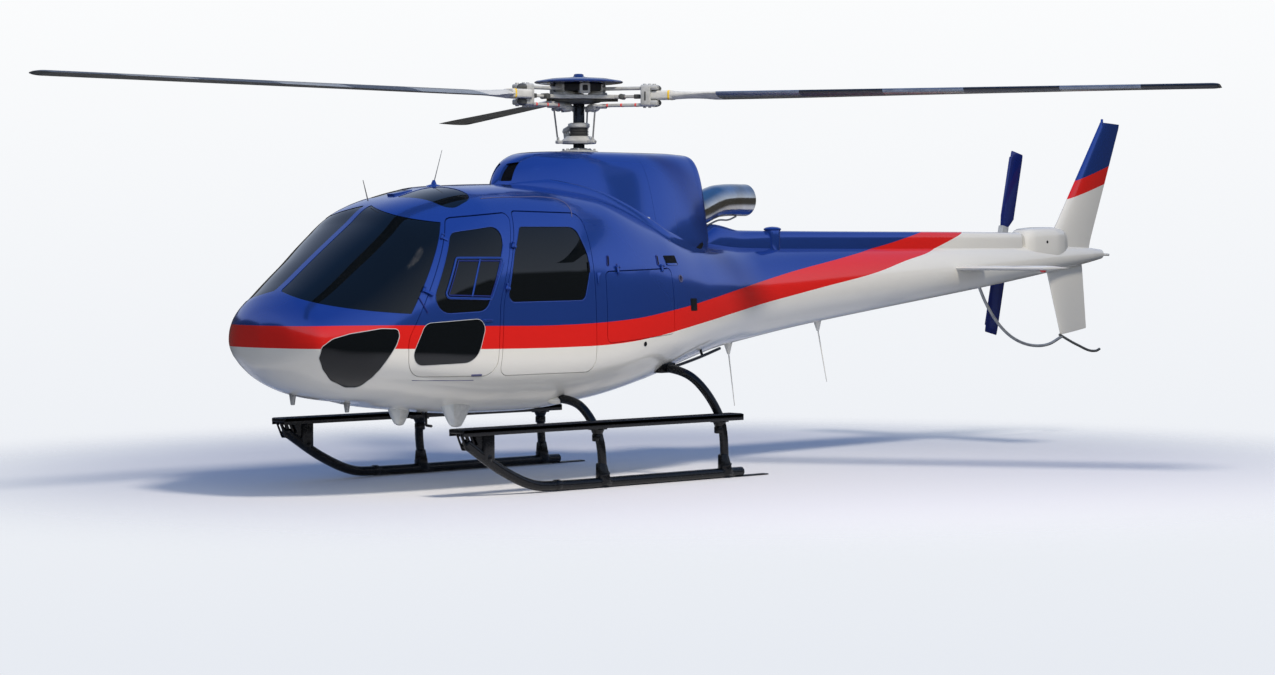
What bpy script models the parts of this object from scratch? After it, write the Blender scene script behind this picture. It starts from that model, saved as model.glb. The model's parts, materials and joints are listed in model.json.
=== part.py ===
"""A light single-engine helicopter, parked on its landing skids.

Metres. +X is forward, +Y is port, +Z is up, and the ground is z = 0. Stations along the
machine are measured from the rotor mast, and one empty carries everything so that the
middle of the whole machine's box lies over the origin.
"""

import math

import bmesh
import bpy
from mathutils import Matrix, Vector

# Whole machine
MAST_X = 1.10
GAP = 0.0003
FIT = 0.0008
DOOR_GAP = 0.006
DOOR_DROP = 0.004
WALL = 0.035
PANE_INSET = 0.004
PANE_BACK = 0.012
HULL_SIDES = 24
FIN_STEPS = 7
FAR = 5.0
SIDE_REACH = (0.02, 1.30)

# Rotor
ROTOR_RADIUS = 5.345
ROTOR_Z = 3.20
BLADE_CHORD = 0.35
BLADE_THICKNESS = 0.042
BLADE_ANGLES = (0.0, 120.0, 240.0)
MAST_RADIUS = 0.048
TAIL_ROTOR_RADIUS = 0.93
TAIL_ROTOR = Vector((-6.20, -0.45, 1.97))
TAIL_BLADE_TILT = -13.0

# Ground gear
HALF_TRACK = 1.14
SKID_RADIUS = 0.041
LEG_RADIUS = 0.036
BOARD_Z = 0.50

# Cabin
CABIN_REAR_X = 0.62
BULKHEAD = 0.03
BELT_Z = 1.40
DECK_Z = 1.95
FLOOR_Z = 0.80

# Hull sections: station, half width, lowest z, z of the widest point, highest z,
# and the exponents that square the lower and the upper half.
HULL = (
    (3.36, 0.09, 1.145, 1.23, 1.315, 2.0, 2.0),
    (3.332, 0.332, 1.029, 1.22, 1.433, 2.1, 2.1),
    (3.245, 0.56, 0.94, 1.21, 1.55, 2.0, 2.1),
    (3.077, 0.675, 0.83, 1.20, 1.68, 2.3, 2.2),
    (2.82, 0.80, 0.745, 1.19, 1.88, 2.4, 2.25),
    (2.50, 0.885, 0.70, 1.18, 2.12, 2.5, 2.6),
    (2.327, 0.905, 0.663, 1.175, 2.25, 2.5, 2.7),
    (2.05, 0.925, 0.63, 1.17, 2.345, 2.6, 2.9),
    (1.60, 0.935, 0.59, 1.17, 2.43, 2.7, 3.1),
    (1.00, 0.935, 0.585, 1.17, 2.45, 2.7, 3.1),
    (0.35, 0.915, 0.645, 1.20, 2.41, 2.6, 3.0),
    (-0.30, 0.83, 0.76, 1.26, 2.25, 2.4, 2.7),
    (-0.90, 0.68, 0.90, 1.35, 2.06, 2.2, 2.4),
    (-1.45, 0.52, 1.02, 1.43, 1.97, 2.1, 2.2),
    (-1.90, 0.41, 1.09, 1.51, 1.94, 2.0, 2.0),
)

# Tail boom sections, in the same columns.
BOOM = (
    (-1.9003, 0.41, 1.09, 1.51, 1.94, 2.0, 2.0),
    (-2.60, 0.335, 1.195, 1.56, 1.93, 2.0, 2.0),
    (-3.60, 0.275, 1.32, 1.625, 1.93, 2.0, 2.0),
    (-5.40, 0.20, 1.535, 1.735, 1.935, 2.0, 2.0),
    (-6.30, 0.155, 1.655, 1.795, 1.935, 2.0, 2.0),
    (-7.00, 0.085, 1.755, 1.83, 1.91, 2.0, 2.0),
    (-7.23, 0.045, 1.795, 1.843, 1.89, 2.0, 2.0),
)
BOOM_WALL = 0.012
BOOM_SIDES = 20

# Rotor gearbox and engine cowlings, in the same columns, and the share by which the top is
# narrower than the widest point.
COWL = (
    (0.985, 0.03, 2.20, 2.30, 2.455, 2.0, 2.4, 0.0),
    (0.95, 0.09, 2.00, 2.25, 2.51, 2.0, 2.6, 0.1),
    (0.88, 0.19, 1.90, 2.20, 2.595, 2.0, 2.8, 0.2),
    (0.78, 0.30, 1.80, 2.15, 2.665, 2.0, 3.2, 0.28),
    (0.62, 0.41, 1.75, 2.10, 2.715, 2.0, 3.8, 0.31),
    (0.40, 0.50, 1.70, 2.05, 2.73, 2.0, 4.4, 0.32),
    (0.00, 0.57, 1.65, 2.00, 2.735, 2.0, 5.0, 0.32),
    (-0.40, 0.60, 1.60, 2.00, 2.735, 2.0, 5.0, 0.30),
    (-0.80, 0.54, 1.60, 2.00, 2.735, 2.0, 5.0, 0.27),
    (-1.00, 0.49, 1.60, 2.00, 2.725, 2.0, 4.8, 0.25),
    (-1.065, 0.465, 1.60, 2.00, 2.705, 2.0, 4.6, 0.25),
    (-1.09, 0.44, 1.62, 2.00, 2.67, 2.0, 4.4, 0.25),
)
COWL_WALL = 0.02
COWL_SPLIT_X = -0.36

# Spine over the tail drive shaft, in the same columns.
SPINE = (
    (-1.12, 0.16, 1.70, 1.90, 2.025, 2.4, 2.6),
    (-1.36, 0.16, 1.70, 1.90, 2.05, 2.4, 2.6),
    (-1.56, 0.155, 1.70, 1.90, 2.13, 2.4, 2.6),
    (-1.90, 0.13, 1.70, 1.90, 2.075, 2.4, 2.8),
    (-2.60, 0.11, 1.75, 1.90, 2.07, 2.4, 3.0),
    (-5.86, 0.10, 1.80, 1.90, 2.06, 2.4, 3.0),
)

# Fairing round the tail rotor gearbox, in the same columns.
TAIL_FAIRING = (
    (-5.90, 0.09, 1.70, 1.90, 2.05, 2.2, 2.6),
    (-6.02, 0.14, 1.70, 1.92, 2.10, 2.2, 2.6),
    (-6.32, 0.15, 1.70, 1.92, 2.115, 2.2, 2.6),
    (-6.56, 0.08, 1.75, 1.90, 2.08, 2.2, 2.4),
)

# Landing lamp fairings under the belly: centre, half length, half width and depth.
LAMP_FAIRINGS = (
    (1.84, 0.538, 0.68, 0.13, 0.09, 0.175),
    (2.065, 0.109, 0.64, 0.09, 0.07, 0.13),
)

# Outlines seen from the side, as (x, z, corner radius).
FRONT_DOOR = (
    (2.06, 2.165, 0.10),
    (1.445, 2.215, 0.05),
    (1.705, 1.50, 0.50),
    (1.735, 0.915, 0.14),
    (2.58, 0.93, 0.16),
    (2.60, 1.22, 0.25),
)
FRONT_WINDOW = (
    (2.08, 2.045, 0.10),
    (1.60, 2.105, 0.08),
    (1.62, 1.95, 0.10),
    (1.85, 1.43, 0.12),
    (2.42, 1.41, 0.12),
)
LOW_WINDOW = (
    (2.44, 1.345, 0.06),
    (1.84, 1.375, 0.05),
    (1.95, 1.03, 0.14),
    (2.60, 1.015, 0.07),
)
REAR_DOOR = (
    (1.415, 2.225, 0.05),
    (0.68, 2.21, 0.10),
    (0.665, 0.915, 0.10),
    (1.705, 0.915, 0.08),
    (1.675, 1.50, 0.50),
)
REAR_WINDOW = (
    (1.40, 2.095, 0.05),
    (0.80, 2.095, 0.10),
    (0.70, 1.80, 0.40),
    (0.80, 1.50, 0.07),
    (1.64, 1.495, 0.06),
    (1.52, 1.88, 0.50),
)
BAGGAGE_DOOR = (
    (0.55, 1.735, 0.05),
    (-0.32, 1.755, 0.05),
    (-0.32, 1.20, 0.06),
    (0.55, 1.14, 0.06),
)
CHIN_WINDOW = (
    (3.10, 1.30, 0.15),
    (2.655, 1.33, 0.05),
    (2.655, 1.12, 0.15),
    (2.85, 0.775, 0.12),
    (3.215, 1.055, 0.08),
    (3.235, 1.205, 0.06),
)
# Outline seen from ahead, as (y, z, corner radius), and from the side the edge it runs aft to.
WINDSCREEN = (
    (0.035, 1.598, 0.02),
    (0.99, 1.392, 0.03),
    (0.99, 2.06, 0.03),
    (0.03, 2.27, 0.02),
)
PILLAR_EDGE = (
    (2.086, 2.165, 0.03),
    (2.575, 1.394, 0.03),
    (4.0, 1.2, 0.03),
    (4.0, 2.6, 0.03),
    (2.086, 2.60, 0.03),
)
# Outline seen from above, as (x, y, corner radius).
SKYLIGHT = (
    (2.12, 0.12, 0.07),
    (1.70, 0.06, 0.12),
    (1.68, 0.58, 0.12),
    (1.98, 0.64, 0.12),
)

# Hinge lines on the port side: first and second knuckle, the way out of the hull, and how far
# each knuckle's arm reaches from the line into its door.
FRONT_HINGE = (
    Vector((2.169, 0.764, 2.011)),
    Vector((2.439, 0.868, 1.603)),
    Vector((0.21, 0.89, 0.40)),
    (0.056, 0.088),
)
REAR_HINGE = (
    Vector((1.532, 0.880, 1.942)),
    Vector((1.645, 0.934, 1.613)),
    Vector((0.0, 0.98, 0.15)),
    (0.037, 0.037),
)
BAGGAGE_HINGE = (
    Vector((-0.185, 0.808, 1.774)),
    Vector((0.409, 0.896, 1.768)),
    Vector((-0.08, 0.97, 0.215)),
    (0.052, 0.058),
)
PIN_RADIUS = 0.006
PIN_SLACK = 0.0005
KNUCKLE_RADIUS = 0.012
KNUCKLE_HALF = 0.015
HINGE_ROOT = 0.027
ARM_HALF = 0.010

# Cross tubes, from the port foot to the middle, as (x, y, z).
FRONT_LEG = (
    (0.80, HALF_TRACK, 0.06),
    (0.84, 1.11, 0.44),
    (0.865, 0.96, 0.635),
    (0.875, 0.55, 0.71),
)
REAR_LEG = (
    (-0.60, HALF_TRACK, 0.06),
    (-0.55, 1.11, 0.53),
    (-0.43, 0.93, 0.83),
    (-0.34, 0.50, 0.93),
)

# Skid tube on the port side, from its heel to its turned-up toe, as (x, z).
SKID_PATH = (
    (-0.78, SKID_RADIUS),
    (1.00, SKID_RADIUS),
    (1.20, SKID_RADIUS),
    (1.52, 0.055),
    (1.88, 0.19),
    (2.14, 0.345),
    (2.27, 0.43),
)
# The slotted bracket that joins the toe to the footboard, and its first slot, as (x, z).
TOE_BRACKET = ((2.335, BOARD_Z - GAP), (2.275, 0.365), (2.12, 0.365), (2.08, BOARD_Z - GAP))
TOE_SLOT = ((2.311, 0.478), (2.277, 0.405), (2.249, 0.405), (2.283, 0.478))
TOE_SLOT_STEPS = (0.0, 0.048, 0.096)

# Engine exhaust: centre line, and the turn of its bore past both ends, as (x, z).
PIPE_RADIUS = 0.142
PIPE_WALL = 0.006
PIPE = ((-1.0203, 2.185), (-1.16, 2.185), (-1.40, 2.245), (-1.64, 2.33), (-1.985, 2.345))
BORE_ENDS = ((-0.94, 2.185), (-2.12, 2.352))

# Rim of the intake that is cut through the gearbox cowling, as (x, z, corner radius).
INTAKE = ((0.90, 2.47, 0.01), (0.84, 2.64, 0.01), (0.73, 2.64, 0.01), (0.83, 2.47, 0.01))

# Aerofoil surfaces: leading edge and trailing edge as (x, z), and thickness.
UPPER_FIN = (
    ((-6.42, 1.84), (-7.02, 1.84), 0.085),
    ((-6.47, 2.09), (-7.08, 2.00), 0.085),
    ((-7.22, 3.18), (-7.54, 3.165), 0.035),
)
LOWER_FIN = (
    ((-6.30, 1.86), (-6.90, 1.86), 0.06),
    ((-6.36, 1.67), (-6.93, 1.70), 0.06),
    ((-6.57, 1.04), (-7.00, 1.10), 0.03),
)
STABILISER_SPAN = 1.265
STABILISER = ((-4.68, 1.72), (-5.10, 1.72), 0.045)
SPAR_X = -4.86
SPAR_RADIUS = 0.018

# Tube guard below the tail rotor and the tail skid behind it, as (x, z).
GUARD = (
    (-5.30, 1.55),
    (-5.40, 1.38),
    (-5.56, 1.20),
    (-5.80, 1.035),
    (-6.10, 0.94),
    (-6.42, 0.95),
    (-6.60, 1.02),
)
TAIL_SKID = ((-6.58, 1.03), (-6.85, 0.93), (-7.12, 0.86), (-7.22, 0.875))

# Main blade stations: distance from the mast, chord, thickness, and pitch in degrees.
BLADE = (
    (0.6203, 0.14, 0.0677, 0.0),
    (0.76, 0.14, 0.0677, 0.0),
    (0.86, 0.17, 0.062, 2.0),
    (1.16, BLADE_CHORD, BLADE_THICKNESS, 7.0),
    (3.00, BLADE_CHORD, BLADE_THICKNESS, 4.5),
    (ROTOR_RADIUS - 0.06, BLADE_CHORD, BLADE_THICKNESS, 1.5),
    (ROTOR_RADIUS, BLADE_CHORD - 0.04, BLADE_THICKNESS * 0.8, 1.5),
)
# Tail blade stations: distance from the hub, how far the edges lie ahead and behind, and thickness.
TAIL_BLADE = (
    (0.1603, 0.05, 0.07, 0.03),
    (0.26, 0.06, 0.125, 0.026),
    (TAIL_ROTOR_RADIUS, 0.06, 0.125, 0.02),
)

# Turned parts of the rotor, as (radius, height): heights from the rotor's plane, then from the ground.
STAR_PLATE = (
    (0.10, -0.0597),
    (0.19, -0.045),
    (0.235, -0.02),
    (0.235, 0.005),
    (0.20, 0.03),
    (0.125, 0.036),
    (0.12, 0.11),
)
CAP_DOME = (
    (0.33, 0.1103),
    (0.375, 0.118),
    (0.36, 0.137),
    (0.25, 0.155),
    (0.10, 0.165),
    (0.05, 0.192),
    (0.015, 0.197),
)
MAST_FOOT_Z = 2.6003
SWASHPLATE = (
    (0.145, 2.802),
    (0.150, 2.828),
    (0.105, 2.868),
    (0.080, 2.868),
    (0.085, 2.882),
    (0.074, 2.896),
    (0.084, 2.91),
    (0.074, 2.925),
    (0.080, 2.94),
    (0.092, 2.942),
    (0.092, 2.972),
    (0.070, 2.98),
)
MAST_COLLAR = (
    (0.09, MAST_FOOT_Z),
    (0.12, 2.66),
    (0.158, 2.70),
    (0.160, 2.742),
    (0.10, 2.765),
    (0.075, 2.775),
    (0.072, 2.785),
)
# Lever between the swashplate's upper ring and its lower ring, as (distance from the mast, z).
LEVER = ((0.07, 2.975), (0.15, 2.93), (0.15, 2.90), (0.12, 2.90), (0.07, 2.945))
LEVER_ANGLE = 267
LINK_AT = (0.178, -0.115)
LINK_RADIUS = 0.009

# Colour, roughness and metallic value of each finish.
FINISHES = {
    "blue_paint": ((0.03, 0.08, 0.33), 0.2, 0.0),
    "white_paint": ((0.62, 0.63, 0.61), 0.25, 0.0),
    "dark_glass": ((0.02, 0.03, 0.035), 0.05, 0.0),
    "black_paint": ((0.02, 0.02, 0.022), 0.4, 0.0),
    "grey_metal": ((0.45, 0.47, 0.47), 0.4, 0.6),
    "polished_steel": ((0.7, 0.7, 0.68), 0.12, 1.0),
    "dark_steel": ((0.06, 0.07, 0.08), 0.35, 0.8),
    "grey_blade": ((0.10, 0.11, 0.12), 0.5, 0.0),
    "grey_cloth": ((0.16, 0.16, 0.17), 0.9, 0.0),
}


def clear_scene():
    for item in list(bpy.data.objects):
        bpy.data.objects.remove(item, do_unlink=True)


def new_collection(name, helper=False):
    collection = bpy.data.collections.new(name)
    bpy.context.scene.collection.children.link(collection)
    collection.hide_render = helper
    return collection


def new_finish(name):
    colour, roughness, metallic = FINISHES[name]
    material = bpy.data.materials.new(name)
    material.use_nodes = True
    shader = material.node_tree.nodes["Principled BSDF"]
    shader.inputs["Base Color"].default_value = (*colour, 1.0)
    shader.inputs["Roughness"].default_value = roughness
    shader.inputs["Metallic"].default_value = metallic
    return material


def empty(name, at, parent=None):
    item = bpy.data.objects.new(name, None)
    item.location = at
    item.parent = parent
    PARTS.objects.link(item)
    return item


def add(name, mesh, finish, pivot=None, ops=()):
    """A sub-part, its mesh given about the mast and its origin at the pivot it moves about."""
    at = Vector(pivot.location) if pivot else Vector((0, 0, 0))
    mesh.transform(Matrix.Translation(-at))
    item = bpy.data.objects.new(name, mesh)
    item.parent = pivot or AIRFRAME
    mesh.materials.clear()
    mesh.materials.append(MATERIALS[finish])
    mesh.shade_smooth()
    mesh.set_sharp_from_angle(angle=math.radians(35))
    PARTS.objects.link(item)
    cut(item, ops)
    return item


def cutter(name, mesh, ops=()):
    item = bpy.data.objects.new(name, mesh)
    item.parent = AIRFRAME
    item.hide_render = True
    item.display_type = "WIRE"
    CUTTERS.objects.link(item)
    cut(item, ops)
    return item


def cut(item, ops):
    """Adds Booleans: each of ops is an operation and the cutter it uses."""
    for operation, tool in ops:
        boolean = item.modifiers.new(f"{operation.lower()} {tool.name}", "BOOLEAN")
        boolean.operation = operation
        boolean.solver = "EXACT"
        boolean.object = tool


def to_mesh(name, bm):
    bmesh.ops.recalc_face_normals(bm, faces=bm.faces)
    mesh = bpy.data.meshes.new(name)
    bm.to_mesh(mesh)
    bm.free()
    return mesh


def box(low, high, bevel=0.0):
    bm = bmesh.new()
    bmesh.ops.create_cube(bm, size=1.0)
    size = Vector(high) - Vector(low)
    bmesh.ops.scale(bm, vec=size, verts=bm.verts)
    bmesh.ops.translate(bm, vec=(Vector(high) + Vector(low)) / 2, verts=bm.verts)
    if bevel:
        bmesh.ops.bevel(bm, geom=bm.edges[:], offset=bevel, segments=2, affect="EDGES", profile=0.5)
    return to_mesh("box", bm)


def rod(start, end, radius, sides=16, end_radius=None):
    """A cylinder or cone between two points."""
    start, end = Vector(start), Vector(end)
    along = end - start
    bm = bmesh.new()
    bmesh.ops.create_cone(
        bm,
        cap_ends=True,
        segments=sides,
        radius1=radius,
        radius2=radius if end_radius is None else end_radius,
        depth=along.length,
    )
    turn = Vector((0, 0, 1)).rotation_difference(along).to_matrix().to_4x4()
    bmesh.ops.transform(bm, matrix=Matrix.Translation((start + end) / 2) @ turn, verts=bm.verts)
    return to_mesh("rod", bm)


def loft(rings):
    """A closed skin through rings of the same number of points."""
    bm = bmesh.new()
    rows = [[bm.verts.new(point) for point in ring] for ring in rings]
    for here, there in zip(rows, rows[1:]):
        for i in range(len(here)):
            j = (i + 1) % len(here)
            bm.faces.new((here[i], here[j], there[j], there[i]))
    bm.faces.new(rows[0])
    bm.faces.new(rows[-1])
    return to_mesh("loft", bm)


def section(row, sides=HULL_SIDES):
    """One hull section: a superellipse whose lower and upper halves differ, and may narrow upwards."""
    x, half, low, middle, high, power_low, power_high = row[:7]
    narrowing = row[7] if len(row) > 7 else 0.0
    ring = []
    for i in range(sides):
        angle = 2 * math.pi * i / sides
        across, up = math.cos(angle), math.sin(angle)
        power = 2 / (power_high if up >= 0 else power_low)
        reach = high - middle if up >= 0 else middle - low
        rise = math.copysign(abs(up) ** power, up)
        y = half * math.copysign(abs(across) ** power, across) * (1 - narrowing * max(rise, 0.0))
        z = middle + reach * rise
        ring.append(Vector((x, y, z)))
    return ring


def skin(rows, offset=0.0, sides=HULL_SIDES):
    """The loft through a table of sections, moved out along its normals by offset."""
    mesh = loft([section(row, sides) for row in rows])
    bm = bmesh.new()
    bm.from_mesh(mesh)
    bmesh.ops.triangulate(bm, faces=bm.faces, quad_method="FIXED", ngon_method="BEAUTY")
    bm.normal_update()
    steepest = 1.6
    moved = [
        vert.co + vert.normal * offset * min(vert.calc_shell_factor(), steepest) for vert in bm.verts
    ]
    for vert, place in zip(bm.verts, moved):
        vert.co = place
    bm.to_mesh(mesh)
    bm.free()
    return mesh


def inset(corners, by):
    """Corners of a convex outline moved inwards by the same distance from every side."""
    points = [Vector(corner[:2]) for corner in corners]
    area = sum(a.cross(b) for a, b in zip(points, points[1:] + points[:1]))
    turn = 1 if area > 0 else -1
    count = len(points)
    result = []
    for i, corner in enumerate(corners):
        before = (points[i] - points[i - 1]).normalized()
        after = (points[(i + 1) % count] - points[i]).normalized()
        inward = Vector((-before.y, before.x)) * turn
        onward = Vector((-after.y, after.x)) * turn
        mid = (inward + onward).normalized()
        place = points[i] + mid * by / max(mid.dot(inward), 0.2)
        result.append((place.x, place.y, max(corner[2] - by, 0.004)))
    return result


def rounded(corners, steps=4):
    """Points of an outline whose corners are arcs of the given radii."""
    count = len(corners)
    outline = []
    for i, (u, v, radius) in enumerate(corners):
        here = Vector((u, v))
        back = (Vector(corners[i - 1][:2]) - here).normalized()
        onward = (Vector(corners[(i + 1) % count][:2]) - here).normalized()
        half = back.angle(onward) / 2
        reach = radius / math.tan(half)
        centre = here + (back + onward).normalized() * radius / math.sin(half)
        start = here + back * reach - centre
        end = here + onward * reach - centre
        sweep = start.angle_signed(end)
        for k in range(steps + 1):
            turned = start.copy()
            turned.rotate(Matrix.Rotation(-sweep * k / steps, 2))
            outline.append(centre + turned)
    return outline


def prism(outline, plane, start, end):
    """An outline drawn in the plane xz, yz or xy, pushed from start to end across it."""
    place = {
        "xz": lambda u, v, w: (u, w, v),
        "yz": lambda u, v, w: (w, u, v),
        "xy": lambda u, v, w: (u, v, w),
    }[plane]
    return loft([[Vector(place(p[0], p[1], w)) for p in outline] for w in (start, end)])


def mirrored(mesh):
    """The same shape on the starboard side."""
    other = mesh.copy()
    other.transform(Matrix.Diagonal((1, -1, 1, 1)))
    other.flip_normals()
    return other


def tube(points, radius, sides=3, rounds=4, kind="BEZIER"):
    """A round bar along a smooth curve through the points, as a closed mesh."""
    curve = bpy.data.curves.new("tube", "CURVE")
    curve.dimensions = "3D"
    curve.bevel_depth = radius
    curve.bevel_resolution = sides
    curve.use_fill_caps = True
    curve.resolution_u = rounds
    spline = curve.splines.new(kind)
    if kind == "BEZIER":
        spline.bezier_points.add(len(points) - 1)
        for knot, point in zip(spline.bezier_points, points):
            knot.co = point
            knot.handle_left_type = "AUTO"
            knot.handle_right_type = "AUTO"
    else:
        spline.points.add(len(points) - 1)
        for knot, point in zip(spline.points, points):
            knot.co = (*point, 1.0)
    item = bpy.data.objects.new("tube", curve)
    bpy.context.scene.collection.objects.link(item)
    graph = bpy.context.evaluated_depsgraph_get()
    mesh = bpy.data.meshes.new_from_object(item.evaluated_get(graph))
    bpy.data.objects.remove(item)
    bpy.data.curves.remove(curve)
    bm = bmesh.new()
    bm.from_mesh(mesh)
    bmesh.ops.remove_doubles(bm, verts=bm.verts, dist=1e-5)
    bpy.data.meshes.remove(mesh)
    return to_mesh("tube", bm)


def turned(profile, centre, sides=32, axis="Z"):
    """A solid of revolution from (radius, height) pairs, bottom to top, about an axis."""
    rings = []
    for radius, height in profile:
        ring = []
        for i in range(sides):
            angle = 2 * math.pi * i / sides
            point = Vector((radius * math.cos(angle), radius * math.sin(angle), height))
            if axis == "Y":
                point = Vector((point.x, point.z, -point.y))
            ring.append(point + Vector(centre))
        rings.append(ring)
    return loft(rings)


def combined(operation, mesh, tools):
    """One mesh joined with, cut by or kept within others."""
    base = bpy.data.objects.new("base", mesh)
    bpy.context.scene.collection.objects.link(base)
    helpers = []
    for tool in tools:
        helper = bpy.data.objects.new("helper", tool)
        bpy.context.scene.collection.objects.link(helper)
        helpers.append(helper)
        boolean = base.modifiers.new(operation.lower(), "BOOLEAN")
        boolean.operation = operation
        boolean.object = helper
    graph = bpy.context.evaluated_depsgraph_get()
    result = bpy.data.meshes.new_from_object(base.evaluated_get(graph))
    for item in [base, *helpers]:
        bpy.data.objects.remove(item)
    return result


def union(mesh, *others):
    return combined("UNION", mesh, others)


def minus(mesh, *tools):
    return combined("DIFFERENCE", mesh, tools)


def common(mesh, *tools):
    return combined("INTERSECT", mesh, tools)


def turn_about(mesh, centre, degrees, axis="Z"):
    mesh.transform(
        Matrix.Translation(centre)
        @ Matrix.Rotation(math.radians(degrees), 4, axis)
        @ Matrix.Translation(-Vector(centre))
    )
    return mesh


def both_sides(make):
    """Runs make for port and starboard: it gets the side's name and a function that mirrors."""
    make("left", lambda mesh: mesh)
    make("right", mirrored)


def side_prism(corners, by=0.0):
    return prism(rounded(inset(corners, by)) if by else rounded(corners), "xz", *SIDE_REACH)


def deck_box(grow):
    """The flat bay under the cowlings where gearbox and engine stand."""
    return box((-1.05 - grow, -0.37 - grow, DECK_Z - grow), (0.32 + grow, 0.37 + grow, 3.0))


def shared_cutters():
    """Tools that several hull pieces use."""
    tools = {}
    tools["deck"] = cutter("deck_bay", deck_box(0.0))
    tools["hollow"] = cutter(
        "hull_hollow",
        skin(HULL, -WALL),
        [("DIFFERENCE", cutter("deck_bay_wall", deck_box(WALL)))],
    )
    tools["glass_back"] = cutter("glass_back", skin(HULL, -PANE_BACK))
    tools["cabin_end"] = cutter(
        "behind_cabin", box((-FAR, -FAR, -FAR), (CABIN_REAR_X + GAP, FAR, FAR))
    )
    tools["upper"] = cutter("above_belt", box((-FAR, -FAR, BELT_Z), (FAR, FAR, FAR)))
    tools["lower"] = cutter("below_belt", box((-FAR, -FAR, -FAR), (FAR, FAR, BELT_Z + GAP)))
    tools["fore"] = cutter("ahead_of_bulkhead", box((CABIN_REAR_X, -FAR, -FAR), (FAR, FAR, FAR)))
    tools["front_leg"] = cutter("front_leg_hole", front_leg(GAP))
    tools["rear_leg"] = cutter("rear_leg_hole", rear_leg(GAP))
    return tools


def leg_path(rows, grow):
    """A cross tube from port foot over to starboard foot, from (x, y, z) rows of the port half."""
    port = [Vector(row) for row in rows]
    port[0].z -= grow
    middle = Vector((port[-1].x, 0.0, port[-1].z))
    return port + [middle] + [Vector((p.x, -p.y, p.z)) for p in reversed(port)]


def front_leg(grow=0.0):
    return tube(leg_path(FRONT_LEG, grow), LEG_RADIUS + grow, 2, 4)


def rear_leg(grow=0.0):
    return tube(leg_path(REAR_LEG, grow), LEG_RADIUS + grow, 2, 4)


def windscreen_block(by=0.0):
    """The space of the port windscreen pane: its front outline, cut off at the door pillar."""
    ahead = prism(rounded(inset(WINDSCREEN, by) if by else WINDSCREEN), "yz", 1.5, 4.2)
    side = prism(rounded(inset(PILLAR_EDGE, by) if by else PILLAR_EDGE), "xz", -0.5, 1.5)
    return common(ahead, side)


def lamp_fairing(x, y, z, half_length, half_width, depth):
    """A rounded fairing that hangs from the belly, its top sunk a little into the skin."""
    bm = bmesh.new()
    bmesh.ops.create_uvsphere(bm, u_segments=14, v_segments=8, radius=1.0)
    bmesh.ops.scale(bm, vec=(half_length, half_width, depth), verts=bm.verts)
    bmesh.ops.translate(bm, vec=(x, y, z), verts=bm.verts)
    return minus(to_mesh("fairing", bm), skin(HULL, -0.02))


def hull_pieces(tools):
    """The nose and belly, the canopy frame and the rear fuselage, with their openings."""
    openings_low, openings_high, cabin_pins, baggage_pins = [], [], [], []

    def openings(side, flip):
        for label, line, group in (
            ("front", FRONT_HINGE, cabin_pins),
            ("rear", REAR_HINGE, cabin_pins),
            ("baggage", BAGGAGE_HINGE, baggage_pins),
        ):
            for number, lug in enumerate(hinge_pins(line), 1):
                group.append(cutter(f"{label}_hinge_pin_{side}_{number}", flip(lug)))
        front = cutter(f"front_doorway_{side}", flip(side_prism(FRONT_DOOR)))
        rear = cutter(f"rear_doorway_{side}", flip(side_prism(REAR_DOOR)))
        chin = cutter(f"chin_opening_{side}", flip(side_prism(CHIN_WINDOW)))
        screen = cutter(f"windscreen_opening_{side}", flip(windscreen_block()))
        sky = cutter(f"skylight_opening_{side}", flip(prism(rounded(SKYLIGHT), "xy", 1.9, 3.0)))
        openings_low.extend([front, rear, chin])
        openings_high.extend([front, rear, screen, sky])

    both_sides(openings)
    remove = "DIFFERENCE"
    lamps = [
        cutter(f"lamp_fairing_{number}", lamp_fairing(*row))
        for number, row in enumerate(LAMP_FAIRINGS, 1)
    ]
    add(
        "nose_and_belly",
        skin(HULL),
        "white_paint",
        ops=[(remove, tools[k]) for k in ("hollow", "cabin_end", "upper", "front_leg")]
        + [(remove, tool) for tool in openings_low]
        + [("UNION", tool) for tool in lamps],
    )
    aerial_base = cutter("aerial_base", rod((1.62, 0, 2.40), (1.60, 0, 2.456), 0.05, 12, 0.02))
    add(
        "canopy_frame",
        skin(HULL),
        "blue_paint",
        ops=[(remove, tools[k]) for k in ("hollow", "cabin_end", "lower")]
        + [(remove, tool) for tool in openings_high]
        + [("UNION", tool) for tool in (*cabin_pins, aerial_base)],
    )
    locker = cutter(
        "locker_hollow",
        skin(HULL, -WALL),
        [
            (remove, cutter("bay_wall", deck_box(WALL))),
            (remove, cutter("bulkhead", box((CABIN_REAR_X - BULKHEAD, -3, -3), (5, 3, 5)))),
        ],
    )
    baggage = []
    both_sides(
        lambda side, flip: baggage.append(
            cutter(f"baggage_opening_{side}", flip(side_prism(BAGGAGE_DOOR)))
        )
    )
    add(
        "rear_fuselage",
        skin(HULL),
        "blue_paint",
        ops=[(remove, tools["deck"]), (remove, tools["fore"]), (remove, locker)]
        + [(remove, tool) for tool in baggage]
        + [(remove, tools["rear_leg"])]
        + [("UNION", tool) for tool in baggage_pins],
    )


def pane(name, block, flip, tools, pivot=None):
    """A pane that follows the hull, a little inside its opening."""
    glass = cutter(f"{name}_outline", flip(block))
    return add(
        name,
        skin(HULL, -PANE_INSET),
        "dark_glass",
        pivot,
        [("INTERSECT", glass), ("DIFFERENCE", tools["glass_back"])],
    )


def hinge(name, line, flip_sign):
    at = line[0].copy()
    at.y *= flip_sign
    return empty(name, at, AIRFRAME)


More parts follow.
